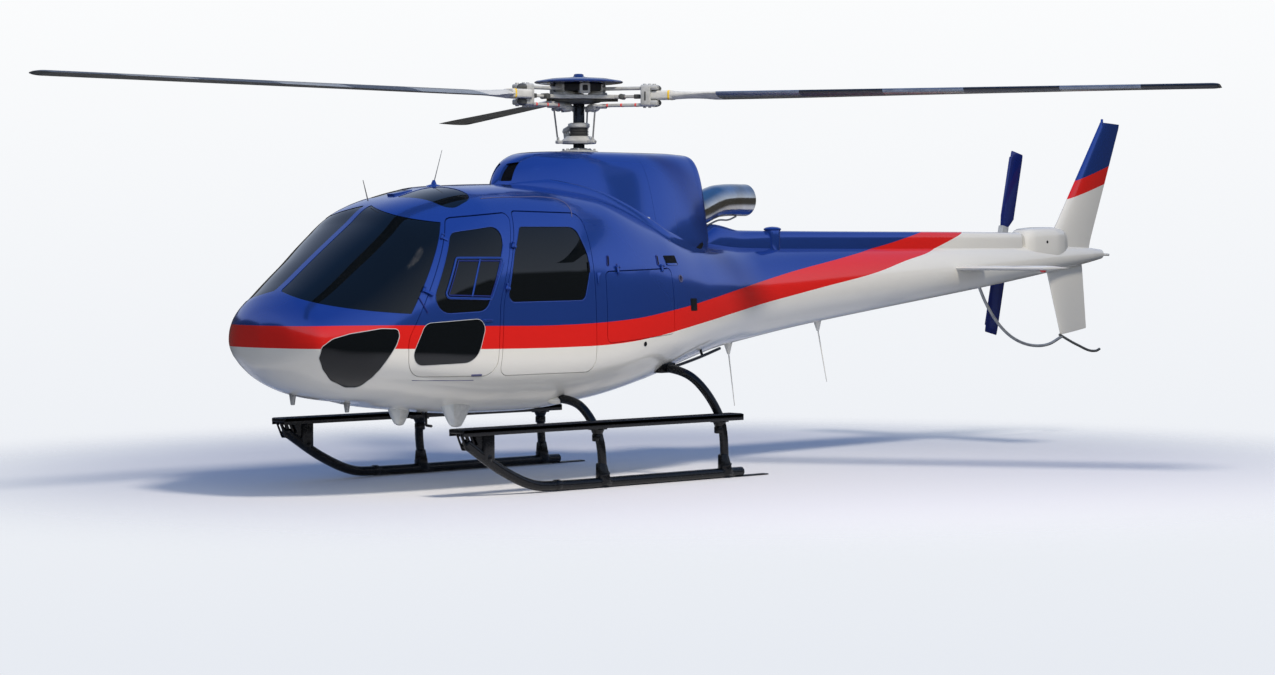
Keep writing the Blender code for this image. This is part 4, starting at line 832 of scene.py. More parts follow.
def make_finishes():
    """Every finish of the machine, by its short name."""
    made = {key: plain(*most, **rest) for key, (*most, rest) in EVEN_FINISHES.items()}
    # A deep gloss: blue over red over white on the body, slanted bands on the fin.
    made["paint"] = striped_enamel()
    made["fin_paint"] = fin_enamel()
    # One coat each: the cowlings' blue, a darker one on the tail rotor, a darker navy on the cap that is
    # painted shade for a cap in shadow, and the white.
    made["blue"] = enamel("blue_polyurethane_enamel", BLUE, METAL_FLAKE)[0]
    made["deep_blue"] = enamel("deep_blue_polyurethane_enamel", "#1A2970", 0.3)[0]
    made["cap_blue"] = enamel("navy_polyurethane_enamel", "#132F6E", 0.3)[0]
    made["white"] = enamel("white_polyurethane_enamel", WHITE)[0]
    # Cast acrylic tinted in the mass: nearly black inside, with a clean mirror gloss.
    made["glass"] = new_material(
        "tinted_cast_acrylic", "#0B1014", 0.02, IOR=1.49, Transmission_Weight=0.3, Specular_IOR_Level=0.45
    )[0]
    made["blade"] = laminate()
    made["cloth"] = woven_cloth("woven_seat_cloth", "#33363B", "#484C52", 1.2)
    # Lenses: a clear hard gloss over a full colour.
    made["red_lens"] = new_material("red_polycarbonate_lens", "#C4140E", 0.08, Coat_Weight=1.0)[0]
    made["clear_lens"] = new_material("clear_polycarbonate_lens", "#B9BFC2", 0.06, Coat_Weight=1.0)[0]
    return made


FINISH = make_finishes()


# Pieces


def placed(name, data):
    """A new object at the origin."""
    item = bpy.data.objects.new(name, data)
    bpy.context.scene.collection.objects.link(item)
    return item


def settled(item):
    """The mesh of an object with its modifiers applied."""
    return bpy.data.meshes.new_from_object(item.evaluated_get(bpy.context.evaluated_depsgraph_get()))


def points_of(mesh):
    """A mesh's points as an array."""
    points = np.zeros(len(mesh.vertices) * 3, np.float32)
    mesh.vertices.foreach_get("co", points)
    return points.reshape(-1, 3)


def piece(name, mesh, finishes, body, replaces=(), sharp=35.0):
    """Puts a finished mesh in the scene, riding on its body."""
    item = placed(name, mesh)
    kept = np.zeros(len(mesh.polygons), np.int32)
    mesh.polygons.foreach_get("material_index", kept)
    mesh.materials.clear()
    for finish in finishes:
        mesh.materials.append(FINISH[finish])
    mesh.polygons.foreach_set("material_index", np.minimum(kept, len(finishes) - 1))
    mesh.shade_smooth()
    mesh.set_sharp_from_angle(angle=math.radians(sharp))
    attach(item, body)
    if replaces:
        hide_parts(*replaces)
    return item


def formed(name, forms, finishes, body="airframe", replaces=()):
    """A piece from forms."""
    return piece(name, as_mesh(name, forms), finishes, body, replaces)


def carve(base, cuts=(), within=None):
    """A mesh cut by Booleans: the part inside one mesh, where it is given, less each of the others."""
    steps = [("DIFFERENCE", mesh) for mesh in cuts]
    if within is not None:
        steps.insert(0, ("INTERSECT", within))
    work = placed("work", base)
    tools = []
    while len(base.materials) < 3:
        base.materials.append(FINISH["paint"])
    for operation, mesh in steps:
        while len(mesh.materials) < 3:
            mesh.materials.append(FINISH["paint"])
        tool = placed("tool", mesh)
        tools.append(tool)
        modifier = work.modifiers.new(operation.lower(), "BOOLEAN")
        modifier.operation = operation
        modifier.solver = "EXACT"
        modifier.object = tool
    result = settled(work)
    for item in [work, *tools]:
        bpy.data.objects.remove(item)
    return result


def other_side(mesh):
    """A copy of a mesh on the starboard side: y changes its sign, and its faces are turned back."""
    other = mesh.copy()
    other.transform(Matrix.Diagonal((1, -1, 1, 1)))
    other.flip_normals()
    return other


def cutter(outline, plane, low, high):
    """A mesh to cut with: an outline pushed from low to high across its plane."""
    return as_mesh("tool", [slab(outline, plane, low, high)])


def side_tool(corners, by=0.0):
    """A cutter for the port side: an outline drawn in by an amount and pushed out through the skin."""
    return cutter(drawn_in(rounded(corners), by), "xz", 0.02, 1.30)


def roof_tool(by=0.0):
    """A cutter for the port skylight: its outline drawn in by an amount and pushed up."""
    return cutter(drawn_in(rounded(SKYLIGHT), by), "xy", 1.9, 3.0)


def box_tool(low, high):
    """A cutter between two corners: a rectangle seen from above, pushed up from low z to high z."""
    outline = np.array(((low[0], low[1]), (high[0], low[1]), (high[0], high[1]), (low[0], high[1])))
    return cutter(outline, "xy", low[2], high[2])


def both(make):
    """Runs make for each side: it gets the side's name and a function that mirrors a mesh."""
    make("left", lambda mesh: mesh)
    make("right", other_side)


BODY_ROWS = fine_rows(BODY)
HULL_ROWS = BODY_ROWS[: TAIL_JOINT_ROW * SKIN_STEPS + 1]
BOOM_ROWS = BODY_ROWS[TAIL_JOINT_ROW * SKIN_STEPS :]
COWL_ROWS = fine_rows(COWL, 10)


def half_width(rows, x, z):
    """Half width of a skin at a station and height: half (1 - share^p)^(1/p), less its narrowing."""
    order = np.argsort(rows[:, 0])
    at = np.atleast_1d(np.asarray(x, float))
    row = np.stack([np.interp(at, rows[order, 0], rows[order, k]) for k in range(rows.shape[1])], -1)
    z = np.atleast_1d(z)
    up = z >= row[:, 3]
    reach = np.where(up, row[:, 4] - row[:, 3], row[:, 3] - row[:, 2])
    power = np.where(up, row[:, 6], row[:, 5])
    share = np.clip(np.abs(z - row[:, 3]) / reach, 0, 1)
    width = row[:, 1] * (1 - share**power) ** (1 / power)
    if rows.shape[1] > 7:
        width = width * (1 - row[:, 7] * np.where(up, share, 0))
    return width


def top_z(x, y):
    """Height of the body's roof at a station and offset: middle + reach (1 - share^p)^(1/p)."""
    order = np.argsort(BODY_ROWS[:, 0])
    row = np.array([np.interp(x, BODY_ROWS[order, 0], BODY_ROWS[order, k]) for k in range(7)])
    share = np.clip(abs(y) / row[1], 0, 1)
    return row[3] + (row[4] - row[3]) * (1 - share ** row[6]) ** (1 / row[6])


def on_side(points, lift):
    """Points (x, z) laid on the port side of the body and lifted off it."""
    x, z = np.array(points, float).T
    return np.stack([x, half_width(BODY_ROWS, x, z) + lift, z], -1)


def laid_on_side(forms, x, z, degrees=0.0, rows=BODY_ROWS):
    """Forms drawn about the origin (X forward, Y up, Z outward) set on the port side at a place.

    The skin's frame there comes from differences of its half width, then turns by the angle.
    """
    step = 0.004
    y = half_width(rows, [x - step, x + step, x, x], [z, z, z - step, z + step])
    forward = np.array((1.0, (y[1] - y[0]) / (2 * step), 0.0))
    upward = np.array((0.0, (y[3] - y[2]) / (2 * step), 1.0))
    forward /= np.linalg.norm(forward)
    outward = np.cross(upward, forward)
    outward /= np.linalg.norm(outward)
    upward = np.cross(forward, outward)
    a = math.radians(degrees)
    u = math.cos(a) * forward + math.sin(a) * upward
    v = math.cos(a) * upward - math.sin(a) * forward
    place = (x, half_width(rows, x, z)[0], z)
    return [moved(form, np.stack([u, v, outward], 1), place) for form in forms]


def capsule(length, width, low, high, edge=0.002, finish=0):
    """A bar with round ends along X: an outline of two half circles, pushed up from low to high."""
    half = length / 2
    outline = rounded(
        [(a * half, b * width / 2, width / 2.02) for a, b in ((-1, -1), (1, -1), (1, 1), (-1, 1))], 6
    )
    return slab(outline, "xy", low, high, edge, finish)


def skin_mesh(inset=0.0):
    """The body from nose to tail joint as a closed skin of superellipses, drawn in by an inset.

    The nose's sections also move back, by the inset times the squared share of the way to the tip.
    """
    rows = HULL_ROWS.copy()
    rows[:, 0] -= inset * np.clip((rows[:, 0] - 2.8) / 0.56, 0, 1) ** 2
    return as_mesh("skin", [shell(rings(rows, inset), finish=1 if inset > 0.02 else 0)])


def hull():
    """The shells of cabin and rear body: outer skin less the skin a wall further in, less the openings."""
    outer, inner = skin_mesh(), skin_mesh(WALL)
    holes = [side_tool(corners) for corners in (FRONT_DOOR, REAR_DOOR, CHIN_WINDOW)]
    holes += [screen_tool(), roof_tool()]
    cuts = [inner, box_tool((-5, -5, -5), (CABIN_REAR_X, 5, 5))]
    for hole in holes:
        cuts += [hole, other_side(hole)]
    cabin, owners = carve(outer.copy(), cuts), ["nose_and_belly", "canopy_frame"]
    piece("cabin_shell", cabin, ["paint", "liner", "paint"], "airframe", owners)
    # The space in the rear body ends at a bulkhead, and round the gearbox bay under the cowling.
    ahead, lid = box_tool((CABIN_REAR_X - 0.03, -5, -5), (6, 5, 5)), side_tool(BAGGAGE_DOOR)
    space = carve(inner.copy(), [ahead, box_tool((-1.09, -0.41, 1.91), (0.36, 0.41, 3.0))])
    ahead = box_tool((CABIN_REAR_X, -5, -5), (6, 5, 5))
    bay = box_tool((-1.05, -0.37, 1.95), (0.32, 0.37, 3.0))
    rear = carve(outer.copy(), [ahead, space, bay, lid, other_side(lid)])
    piece("rear_body_shell", rear, ["paint", "liner", "paint"], "airframe", ["rear_fuselage"])
    return outer, inner


def screen_tool(by=0.0):
    """The port windscreen's space: its outline from ahead crossed with its outline from the side."""
    side = cutter(drawn_in(rounded(PILLAR_EDGE), by), "xz", -0.5, 1.5)
    return carve(cutter(drawn_in(rounded(WINDSCREEN), by), "yz", 1.5, 4.2), within=side)


def panes_and_doors(outer, inner):
    """Doors with their windows, and the fixed panes.

    A pane is what lies between two inset skins inside its outline; a door is what lies between
    the outer skin and the inner one, inside its own outline and outside its windows.
    """
    front_face, back_face = skin_mesh(PANE_INSET), skin_mesh(PANE_BACK)

    def pane(name, tool, body):
        glass = carve(front_face.copy(), [back_face], tool)

        def put(side, flip):
            owner = name.format(side)
            piece(owner + "_pane", flip(glass.copy()), ["glass"], body.format(side), [owner])

        both(put)

    pane("windscreen_{}", screen_tool(FIT), "airframe")
    pane("chin_window_{}", side_tool(CHIN_WINDOW, FIT), "airframe")
    pane("skylight_{}", roof_tool(FIT), "airframe")
    pane("front_door_{}_upper_window", side_tool(FRONT_WINDOW, FIT), "door_front_{}")
    pane("front_door_{}_lower_window", side_tool(LOW_WINDOW, FIT), "door_front_{}")
    pane("rear_door_{}_upper_window", side_tool(REAR_WINDOW, FIT), "door_rear_{}")
    plan = (
        ("front_door_{}", "door_front_{}", FRONT_DOOR, (FRONT_WINDOW, LOW_WINDOW)),
        ("rear_door_{}", "door_rear_{}", REAR_DOOR, (REAR_WINDOW,)),
        ("baggage_door_{}", "lid_baggage_{}", BAGGAGE_DOOR, ())
    )
    for name, body, corners, windows in plan:
        top = max(z for _, z, _ in corners)
        dropped = [(x, z - DOOR_DROP if top - z < 0.1 else z, radius) for x, z, radius in corners]
        cuts = [inner] + [side_tool(window) for window in windows]
        leaf = carve(outer.copy(), cuts, side_tool(dropped, DOOR_GAP))

        def put(side, flip):
            owner = name.format(side)
            finishes = ["paint", "liner", "paint"]
            piece(owner + "_leaf", flip(leaf.copy()), finishes, body.format(side), [owner])

        both(put)


def bead(corners, radius, lift, finish=0, by=0.0, flatten=1.0):
    """A round bead on the port side: a ring carried along an outline laid on the skin."""
    outline = rounded(corners)
    keep = np.linalg.norm(outline - np.roll(outline, 1, 0), axis=1) > 0.002
    outline = drawn_in(outline[keep], by)
    ends = np.roll(outline, -1, 0)
    cuts = np.maximum((np.linalg.norm(ends - outline, axis=1) / 0.05).astype(int), 1)
    points = [a + (b - a) * (np.arange(n) / n)[:, None] for a, b, n in zip(outline, ends, cuts)]
    path = on_side(np.concatenate(points), lift)
    return sweep(path, radius, 8, (0, 1, 0), flatten, closed=True, finish=finish)


def both_sides(name, forms, finishes, body="airframe", replaces=()):
    """A piece on the port side and its mirror image on the other; {} stands for the side's name."""
    for side, made in (("left", forms), ("right", mirrored(forms))):
        owners = [owner.format(side) for owner in replaces]
        formed(name.format(side), made, finishes, body.format(side), owners)


def trim():
    """Beads round panes and doors, the sliding pane's frame, hinges, handles and small fittings."""
    # The chin window's pale bead is sealant, with a painted highlight along the pane's edge.
    fixed = [bead(CHIN_WINDOW, 0.0030, -0.001, by=-0.001)]
    fixed += [bead(door, 0.0026, -0.010, 1, 0.003) for door in (FRONT_DOOR, REAR_DOOR, BAGGAGE_DOOR)]
    both_sides("fixed_beads_{}", fixed, ["seal", "paint"])
    frame_bar = sweep(on_side([SLIDING_BAR[0], SLIDING_BAR[1]], 0.001), 0.009, 10, (0, 1, 0), 0.6)
    front = [
        # The low window's pale bead is sealant, with a painted highlight along the pane's edge.
        bead(LOW_WINDOW, 0.0022, -0.001, by=-0.001), bead(FRONT_WINDOW, 0.0035, -0.001, 1, -0.001),
        bead(SLIDING_PANE, 0.010, 0.0, 1, 0.0, 0.6), bead(SLIDING_PANE, 0.005, 0.001, 2, 0.022, 0.6),
        {**frame_bar, "finish": 1}
    ]
    front += laid_on_side([capsule(0.10, 0.020, -0.002, 0.008, finish=1)], 1.845, 1.36, 0)
    front += laid_on_side([capsule(0.05, 0.012, 0.006, 0.014, finish=2)], 1.835, 1.36, 0)
    both_sides("front_door_{}_beads", front, ["seal", "blue", "deep_blue"], "door_front_{}")
    rear = [bead(REAR_WINDOW, 0.0035, -0.001, 0, -0.001)]
    # The handle's slot is near black: painted shade in the recess.
    rear += laid_on_side([capsule(0.088, 0.018, -0.002, 0.004, 0.001, 1)], 0.733, 1.766, 92)
    both_sides("rear_door_{}_beads", rear, ["blue", "black_hole"], "door_rear_{}")

    for label, (body, *line) in HINGES.items():
        first, second, out, reaches = (np.array(v, float) for v in line)
        along = (second - first) / np.linalg.norm(second - first)
        across = np.cross(out, along)
        across /= np.linalg.norm(across)
        turn = np.stack([along, across, np.cross(along, across)], 1)
        knuckles, pins = [], []
        for at, reach in zip((first, second), reaches):
            leaf = [
                rod((-0.015, 0, 0), (0.015, 0, 0), 0.012, sides=24),
                block((-0.010, 0.004, -0.004), (0.010, reach, 0.005), 0.001, 0.002),
                block((-0.010, reach - 0.010, -0.027), (0.010, reach, 0.0), 0.001, 0.002)
            ]
            pin = [
                rod((-0.030, 0, 0), (0.017, 0, 0), 0.006, sides=16),
                block((-0.034, -0.009, -0.009), (-0.022, 0.012, 0.009), 0.001, 0.002),
                block((-0.034, 0.002, -0.027), (-0.022, 0.012, 0.0), 0.001, 0.002)
            ]
            knuckles += [moved(form, turn, at) for form in leaf]
            pins += [moved(form, turn, at) for form in pin]
        both_sides(label + "_{}_knuckles", knuckles, ["blue"], body + "_{}")
        both_sides(label + "_{}_pins", pins, ["blue"])

    rim = rounded(
        ((-0.09, -0.042, 0.006), (0.085, -0.042, 0.006), (0.10, 0.042, 0.006), (-0.08, 0.042, 0.006)), 4
    )
    square = rounded([(a * 0.052, b * 0.052, 0.01) for a, b in ((-1, -1), (1, -1), (1, 1), (-1, 1))], 4)
    ring = [(0.024, 0.0), (0.024, 0.004), (0.028, 0.005), (0.032, 0.004), (0.032, 0.0)]
    fittings = []
    # The near-black faces here (the vent, the square, the handles' slots and one plug) are painted shade in
    # openings.
    fittings += laid_on_side([slab(rim, "xy", -0.02, 0.0025, 0.0005, 1)], -0.352, 1.817, 0)
    fittings += laid_on_side([slab(square, "xy", -0.02, 0.0015, 0.0005, 1)], -0.618, 1.442, 0)
    fittings += laid_on_side(
        [slab(rim * (0.9, 0.22) + (0, -0.036), "xy", 0.0, 0.004, 0.001, 0)], -0.352, 1.817, 0
    )
    for x, degrees in ((0.504, 99), (-0.146, 97)):
        fittings += laid_on_side([capsule(0.092, 0.030, -0.002, 0.005, finish=3)], x, 1.818, degrees)
        fittings += laid_on_side([capsule(0.074, 0.014, 0.003, 0.0065, 0.0005, 1)], x, 1.818, degrees)
    pull = rounded(((0.0, 0.0, 0.006), (-0.055, 0.0, 0.006), (0.0, -0.115, 0.006)), 5)
    fittings += laid_on_side([slab(pull, "xy", 0.0, 0.010, 0.003, 0)], 0.652, 1.723, 0)
    fittings += laid_on_side([turned(ring, sides=40, finish=2)], -0.444, 1.663)
    for x, z, size, finish in (
        (0.404, 1.785, 0.009, 3), (-0.263, 1.752, 0.008, 3), (-0.468, 1.985, 0.016, 3),
        (0.082, 1.128, 0.020, 1)
    ):
        plug = [(0.3 * size, 0.003), (size, 0.002), (size, -0.004), (0.3 * size, -0.005)]
        fittings += laid_on_side([turned(plug, sides=24, finish=finish)], x, z)
    fittings += laid_on_side([capsule(0.14, 0.010, -0.001, 0.006, finish=3)], 2.452, 1.485, 60)
    both_sides("side_fittings_{}", fittings, ["blue", "black_hole", "brown_seal", "deep_blue"])

    # The gutter's dark blue-grey is painted shade along a ridge that is blue like the body.
    gutter = (
        (1.623, 2.318), (1.463, 2.328), (1.199, 2.334), (0.927, 2.334), (0.824, 2.321), (0.757, 2.281),
        (0.756, 2.223), (0.784, 2.174)
    )
    line = curve_through(on_side(gutter, 0.001), 6)
    both_sides("rain_gutter_{}", [sweep(*round_ends(line, 0.004), sides=8)], ["brown_seal"])
    # The dark line along the door's foot is painted shade in the seam; the step beside it shares the colour.
    step = laid_on_side([block((-0.05, -0.008, -0.004), (0.05, 0.008, 0.006), 0.002, 0.003)], 1.927, 0.93)
    line = curve_through(on_side(((2.50, 0.905), (2.2, 0.895), (1.94, 0.89)), 0.0005), 4)
    both_sides("door_line_{}", step + [sweep(line, 0.003, 8)], ["brown_seal"])


def cowl_mesh(inset):
    """The cowlings as one closed skin: the sections drawn in by an inset, and the ends by as much."""
    rows = COWL_ROWS.copy()
    rows[:, 0] -= inset * np.clip((rows[:, 0] - 0.6) / 0.4, 0, 1)
    rows[:, 0] += inset * np.clip((-rows[:, 0] - 0.8) / 0.3, 0, 1)
    return as_mesh("cowl", [shell(rings(rows, inset, 144), finish=1 if inset else 0)])


def cowlings(outer):
    """The cowlings over the rotor gearbox and the engine, their upright foot and their catches."""
    full, space = cowl_mesh(0.0), cowl_mesh(COWL_WALL)
    bay = box_tool((-5, -3, -3), (5, 3, 1.70))
    shaft = as_mesh("tool", [rod((0, 0, 2.5), (0, 0, 3.0), 0.165, sides=48)])
    mouth = cutter(rounded(INTAKE), "yz", 0.5, 1.2)
    ahead = box_tool((COWL_SPLIT_X, -2, 0), (3, 2, 4))
    behind = box_tool((-4, -2, 0), (COWL_SPLIT_X + 0.002, 2, 4))
    pipe = as_mesh("tool", [rod((-0.96, 0, 2.185), (-1.40, 0, 2.185), 0.175, sides=48)])
    front = carve(full.copy(), [space, bay, outer, behind, shaft, mouth, other_side(mouth)])
    rear = carve(full.copy(), [space, bay, outer, ahead, pipe])
    for owner, mesh in (("gearbox_cowling", front), ("engine_cowling", rear)):
        piece(owner + "_shell", mesh, ["blue", "liner", "blue"], "airframe", [owner])
    both_sides("cowling_foot_{}", [cowl_foot()], ["blue"])
    # The duct is a near-black sheet set in the intake: painted shade in the opening.
    wider = cutter(drawn_in(rounded(INTAKE), -0.004), "yz", 0.5, 1.2)
    duct = from_mesh(carve(cowl_mesh(0.022), within=wider))
    both_sides("intake_duct_{}", [duct], ["black_hole"])
    catches = []
    for spot in ((-0.27, 2.17, 15), (0.35, 2.42, 5)):
        catches += laid_on_side([capsule(0.05, 0.022, -0.001, 0.007)], *spot, COWL_ROWS)
    both_sides("cowling_catches_{}", catches, ["seal"])
    # The slot is near black: painted shade in the opening.
    slot = laid_on_side([capsule(0.12, 0.05, -0.004, 0.003, finish=0)], -0.945, 1.925, 150, COWL_ROWS)
    both_sides("cowling_slot_{}", slot, ["black_hole"])


def cowl_foot():
    """The cowling's upright foot: a ring of five points carried along the crease with the body.

    The crease is the highest place where the body is wider than the cowling.
    """
    stations = np.linspace(0.90, -1.055, 80)
    height = np.linspace(1.75, 2.60, 600)
    grid = []
    for x in stations:
        body, cowl = (half_width(rows, np.full(600, x), height) for rows in (BODY_ROWS, COWL_ROWS))
        crease = height[np.nonzero(body > cowl)[0].max()]
        fade = min(1.0, (0.92 - x) / 0.3, (x + 1.075) / 0.12)
        rise = 0.075 * fade
        high = half_width(COWL_ROWS, x, crease + rise)[0]
        out = half_width(COWL_ROWS, x, crease)[0] + 0.004 + 0.006 * fade
        foot = top_z(x, out) - 0.004
        grid.append(
            (
                (x, high - 0.004, crease + rise + 0.004), (x, (high + 2 * out) / 3, crease + 0.80 * rise),
                (x, out, crease + 0.55 * rise), (x, out + 0.004 * fade, foot), (x, out - 0.04, foot - 0.02)
            )
        )
    return shell(np.array(grid))


def tail():
    """Boom, spine, gearbox fairing, fins, stabiliser, guard, and what is fitted to them.

    Superellipse rings along the machine make the first three, aerofoil sections the next two,
    and a ring swept along a smooth curve the guard and its hook.
    """
    rod_end = rod((-7.20, 0, 1.842), (-7.372, 0, 1.836), 0.016, 0.012, 24)
    formed(
        "tail_boom_skin", [shell(rings(BOOM_ROWS)), rod_end], ["paint"],
        replaces=["tail_boom"]
    )
    vent = [rod((-2.30, 0.10, 1.86), (-2.29, 0.085, 2.085), 0.052, 0.072, 32)]
    vent.append(ball((-2.29, 0.085, 2.085), (0.080, 0.080, 0.024), 24))
    spine = [shell(rings(fine_rows(SPINE, 8), sides=64))]
    formed("drive_shaft_spine", spine + vent, ["paint"], replaces=["drive_shaft_cover"])
    fairing = [
        shell(rings(fine_rows(TAIL_FAIRING, 8), sides=64)),
        rod((-6.20, -0.10, 1.97), (-6.20, -0.34, 1.97), 0.05, 0.035, 32)
    ]
    formed("tail_gearbox_fairing", fairing, ["white"], replaces=["tail_gearbox"])
    # The dots are near black: painted shade in the openings.
    dot = turned([(0.004, 0.003), (0.014, 0.002), (0.014, -0.004), (0.004, -0.005)], sides=24)
    both_sides(
        "tail_fairing_plug_{}", laid_on_side([dot], -6.178, 1.967, 0, fine_rows(TAIL_FAIRING, 8)),
        ["black_hole"]
    )
    nub = rod((-7.25, 0, 3.14), (-7.255, 0, 3.214), 0.016, 0.012, 20)
    fins = (("upper_fin", UPPER_FIN, [nub], "fin_paint"), ("lower_fin", LOWER_FIN, [], "white"))
    for name, stations, more, finish in fins:
        fin = wing([((a[0], 0, a[1]), (b[0], 0, b[1]), t) for a, b, t in stations], (0, 1, 0))
        formed(name + "_skin", [fin, *more], [finish], replaces=[name])
    (front, height), (rear, _), thick = STABILISER
    spans = (-1.0, -0.99, -0.97, 0.97, 0.99, 1.0)
    thin = (0.3, 0.75, 1.0, 1.0, 0.75, 0.3)
    reach = [STABILISER_SPAN * s for s in spans]
    plane = wing([((front, y, height), (rear, y, height), thick * t) for y, t in zip(reach, thin)], (0, 0, 1))
    formed("stabiliser_skin", [plane], ["white"], replaces=["stabiliser"])
    lamp = [
        ball((-4.775, 1.20, 1.70), (0.04, 0.028, 0.022), 24),
        rod((-4.775, 1.20, 1.70), (-4.775, 1.20, 1.73), 0.03, sides=24)
    ]
    both_sides("stabiliser_lamp_{}", lamp, ["red_lens"])
    guard, hook = (
        sweep(*round_ends(curve_through([(x, 0, z) for x, z in line]), radius), sides=16, up=(0, 1, 0))
        for line, radius in ((GUARD, 0.015), (TAIL_SKID, 0.013))
    )
    formed(
        "tail_guard_tube", [guard, {**hook, "finish": 1}], ["grey_tube", "dark_casting"],
        replaces=["tail_guard"]
    )
    whips = []
    for (x, z), tip in (((-1.80, 1.062), (-1.885, 0.508)), ((-2.975, 1.246), (-3.105, 0.682))):
        whips.append(rod((x, 0, z + 0.03), (x - 0.01, 0, z - 0.09), 0.045, 0.012, 24))
        whips.append(rod((x - 0.01, 0, z - 0.08), (tip[0], 0, tip[1]), 0.0065, 0.0035, 12))
    formed("belly_whip_aerials", whips, ["white"])


def roof_and_belly():
    """Whip aerials, the roof aerial's cone, belly pegs, lamp fairings, drains and the side bar.

    Cones and fairings are profiles carried round an upright; rods and tubes are swept rings.
    """
    cone = [(0.075, 2.418), (0.060, 2.432), (0.024, 2.442), (0.016, 2.462), (0.010, 2.475), (0.002, 2.477)]
    roof = [turned(cone, (1.605, 0, 0), sides=40)]
    whip = [rod((1.602, 0, 2.46), (1.516, 0, 2.721), 0.0045, 0.0022, 12, finish=1)]
    whip.append(rod((2.286, 0, 2.30), (2.336, 0, 2.466), 0.0055, 0.003, 12, finish=1))
    slope = ((0.985, 0, 0.17), (0, 1, 0), (-0.17, 0, 0.985))
    strip = block((-0.10, -0.045, -0.012), (0.10, 0.045, 0.016), 0.004, 0.01)
    formed("roof_fittings", [*roof, *whip, moved(strip, slope, (1.96, 0, 2.362))], ["blue", "grey_tube"])
    pegs = []
    for x, y in ((2.94, -0.14), (2.52, 0.01)):
        foot = float(BODY_ROWS[np.argmin(np.abs(BODY_ROWS[:, 0] - x)), 2])
        pegs.append(rod((x, y, foot + 0.02), (x, y, foot - 0.075), 0.030, 0.016, 24))
    formed("belly_pegs", pegs, ["grey_tube"])
    lamps = []
    for x, y, z, half_length, half_width_, depth in LAMP_FAIRINGS:
        pod = [
            (0.1, 0.3), (1.0, 0.25), (1.0, -0.05), (0.80, -0.40), (0.50, -0.80), (0.34, -0.96), (0.12, -1.0)
        ]
        size = np.diag((half_length, half_width_, depth))
        lamps.append(moved(turned(pod, sides=40), size, (x, y, z)))
        lamps.append(
            moved(turned(np.multiply(pod, (0.9, 0.93)), sides=40, finish=1), size, (x + 0.022, y, z))
        )
    formed("lamp_fairings", lamps, ["casting", "clear_lens"])
    formed(
        "belly_bracket",
        [
            rod((1.80, 0.12, 0.63), (1.80, 0.12, 0.50), 0.011, sides=16),
            rod((1.80, 0.12, 0.50), (1.74, 0.12, 0.49), 0.011, sides=16)
        ],
        ["black"]
    )
    bar = [(-0.30, 0.655, 0.885), (-0.55, 0.62, 0.925), (-0.90, 0.56, 0.99), (-1.19, 0.50, 1.052)]
    forms = [sweep(*round_ends(curve_through(bar, 5), 0.013), sides=14)]
    forms.append(block((-0.46, 0.60, 0.885), (-0.36, 0.70, 0.955), 0.01, 0.02))
    forms.append(rod((-0.95, 0.52, 1.0), (-0.95, 0.48, 1.10), 0.012, sides=12))
    both_sides("side_step_bar_{}", forms, ["black"])
    drain = curve_through(
        [
            (-1.10, 0.03, 1.98), (-1.30, 0.03, 2.035), (-1.52, 0.03, 2.12), (-1.66, 0.03, 2.165),
            (-1.78, 0.03, 2.168), (-1.88, 0.03, 2.20)
        ],
        6
    )
    formed("exhaust_drain_tube", [sweep(*round_ends(drain, 0.008), sides=10)], ["grey_tube"])


def leg(rows):
    """A cross tube: one ring carried along a smooth curve from foot over to foot."""
    port = [np.array(row, float) for row in rows]
    path = port + [np.array((port[-1][0], 0.0, port[-1][2]))] + [p * (1, -1, 1) for p in reversed(port)]
    return sweep(curve_through(path, 12), LEG_RADIUS, 28, (1, 0, 0))


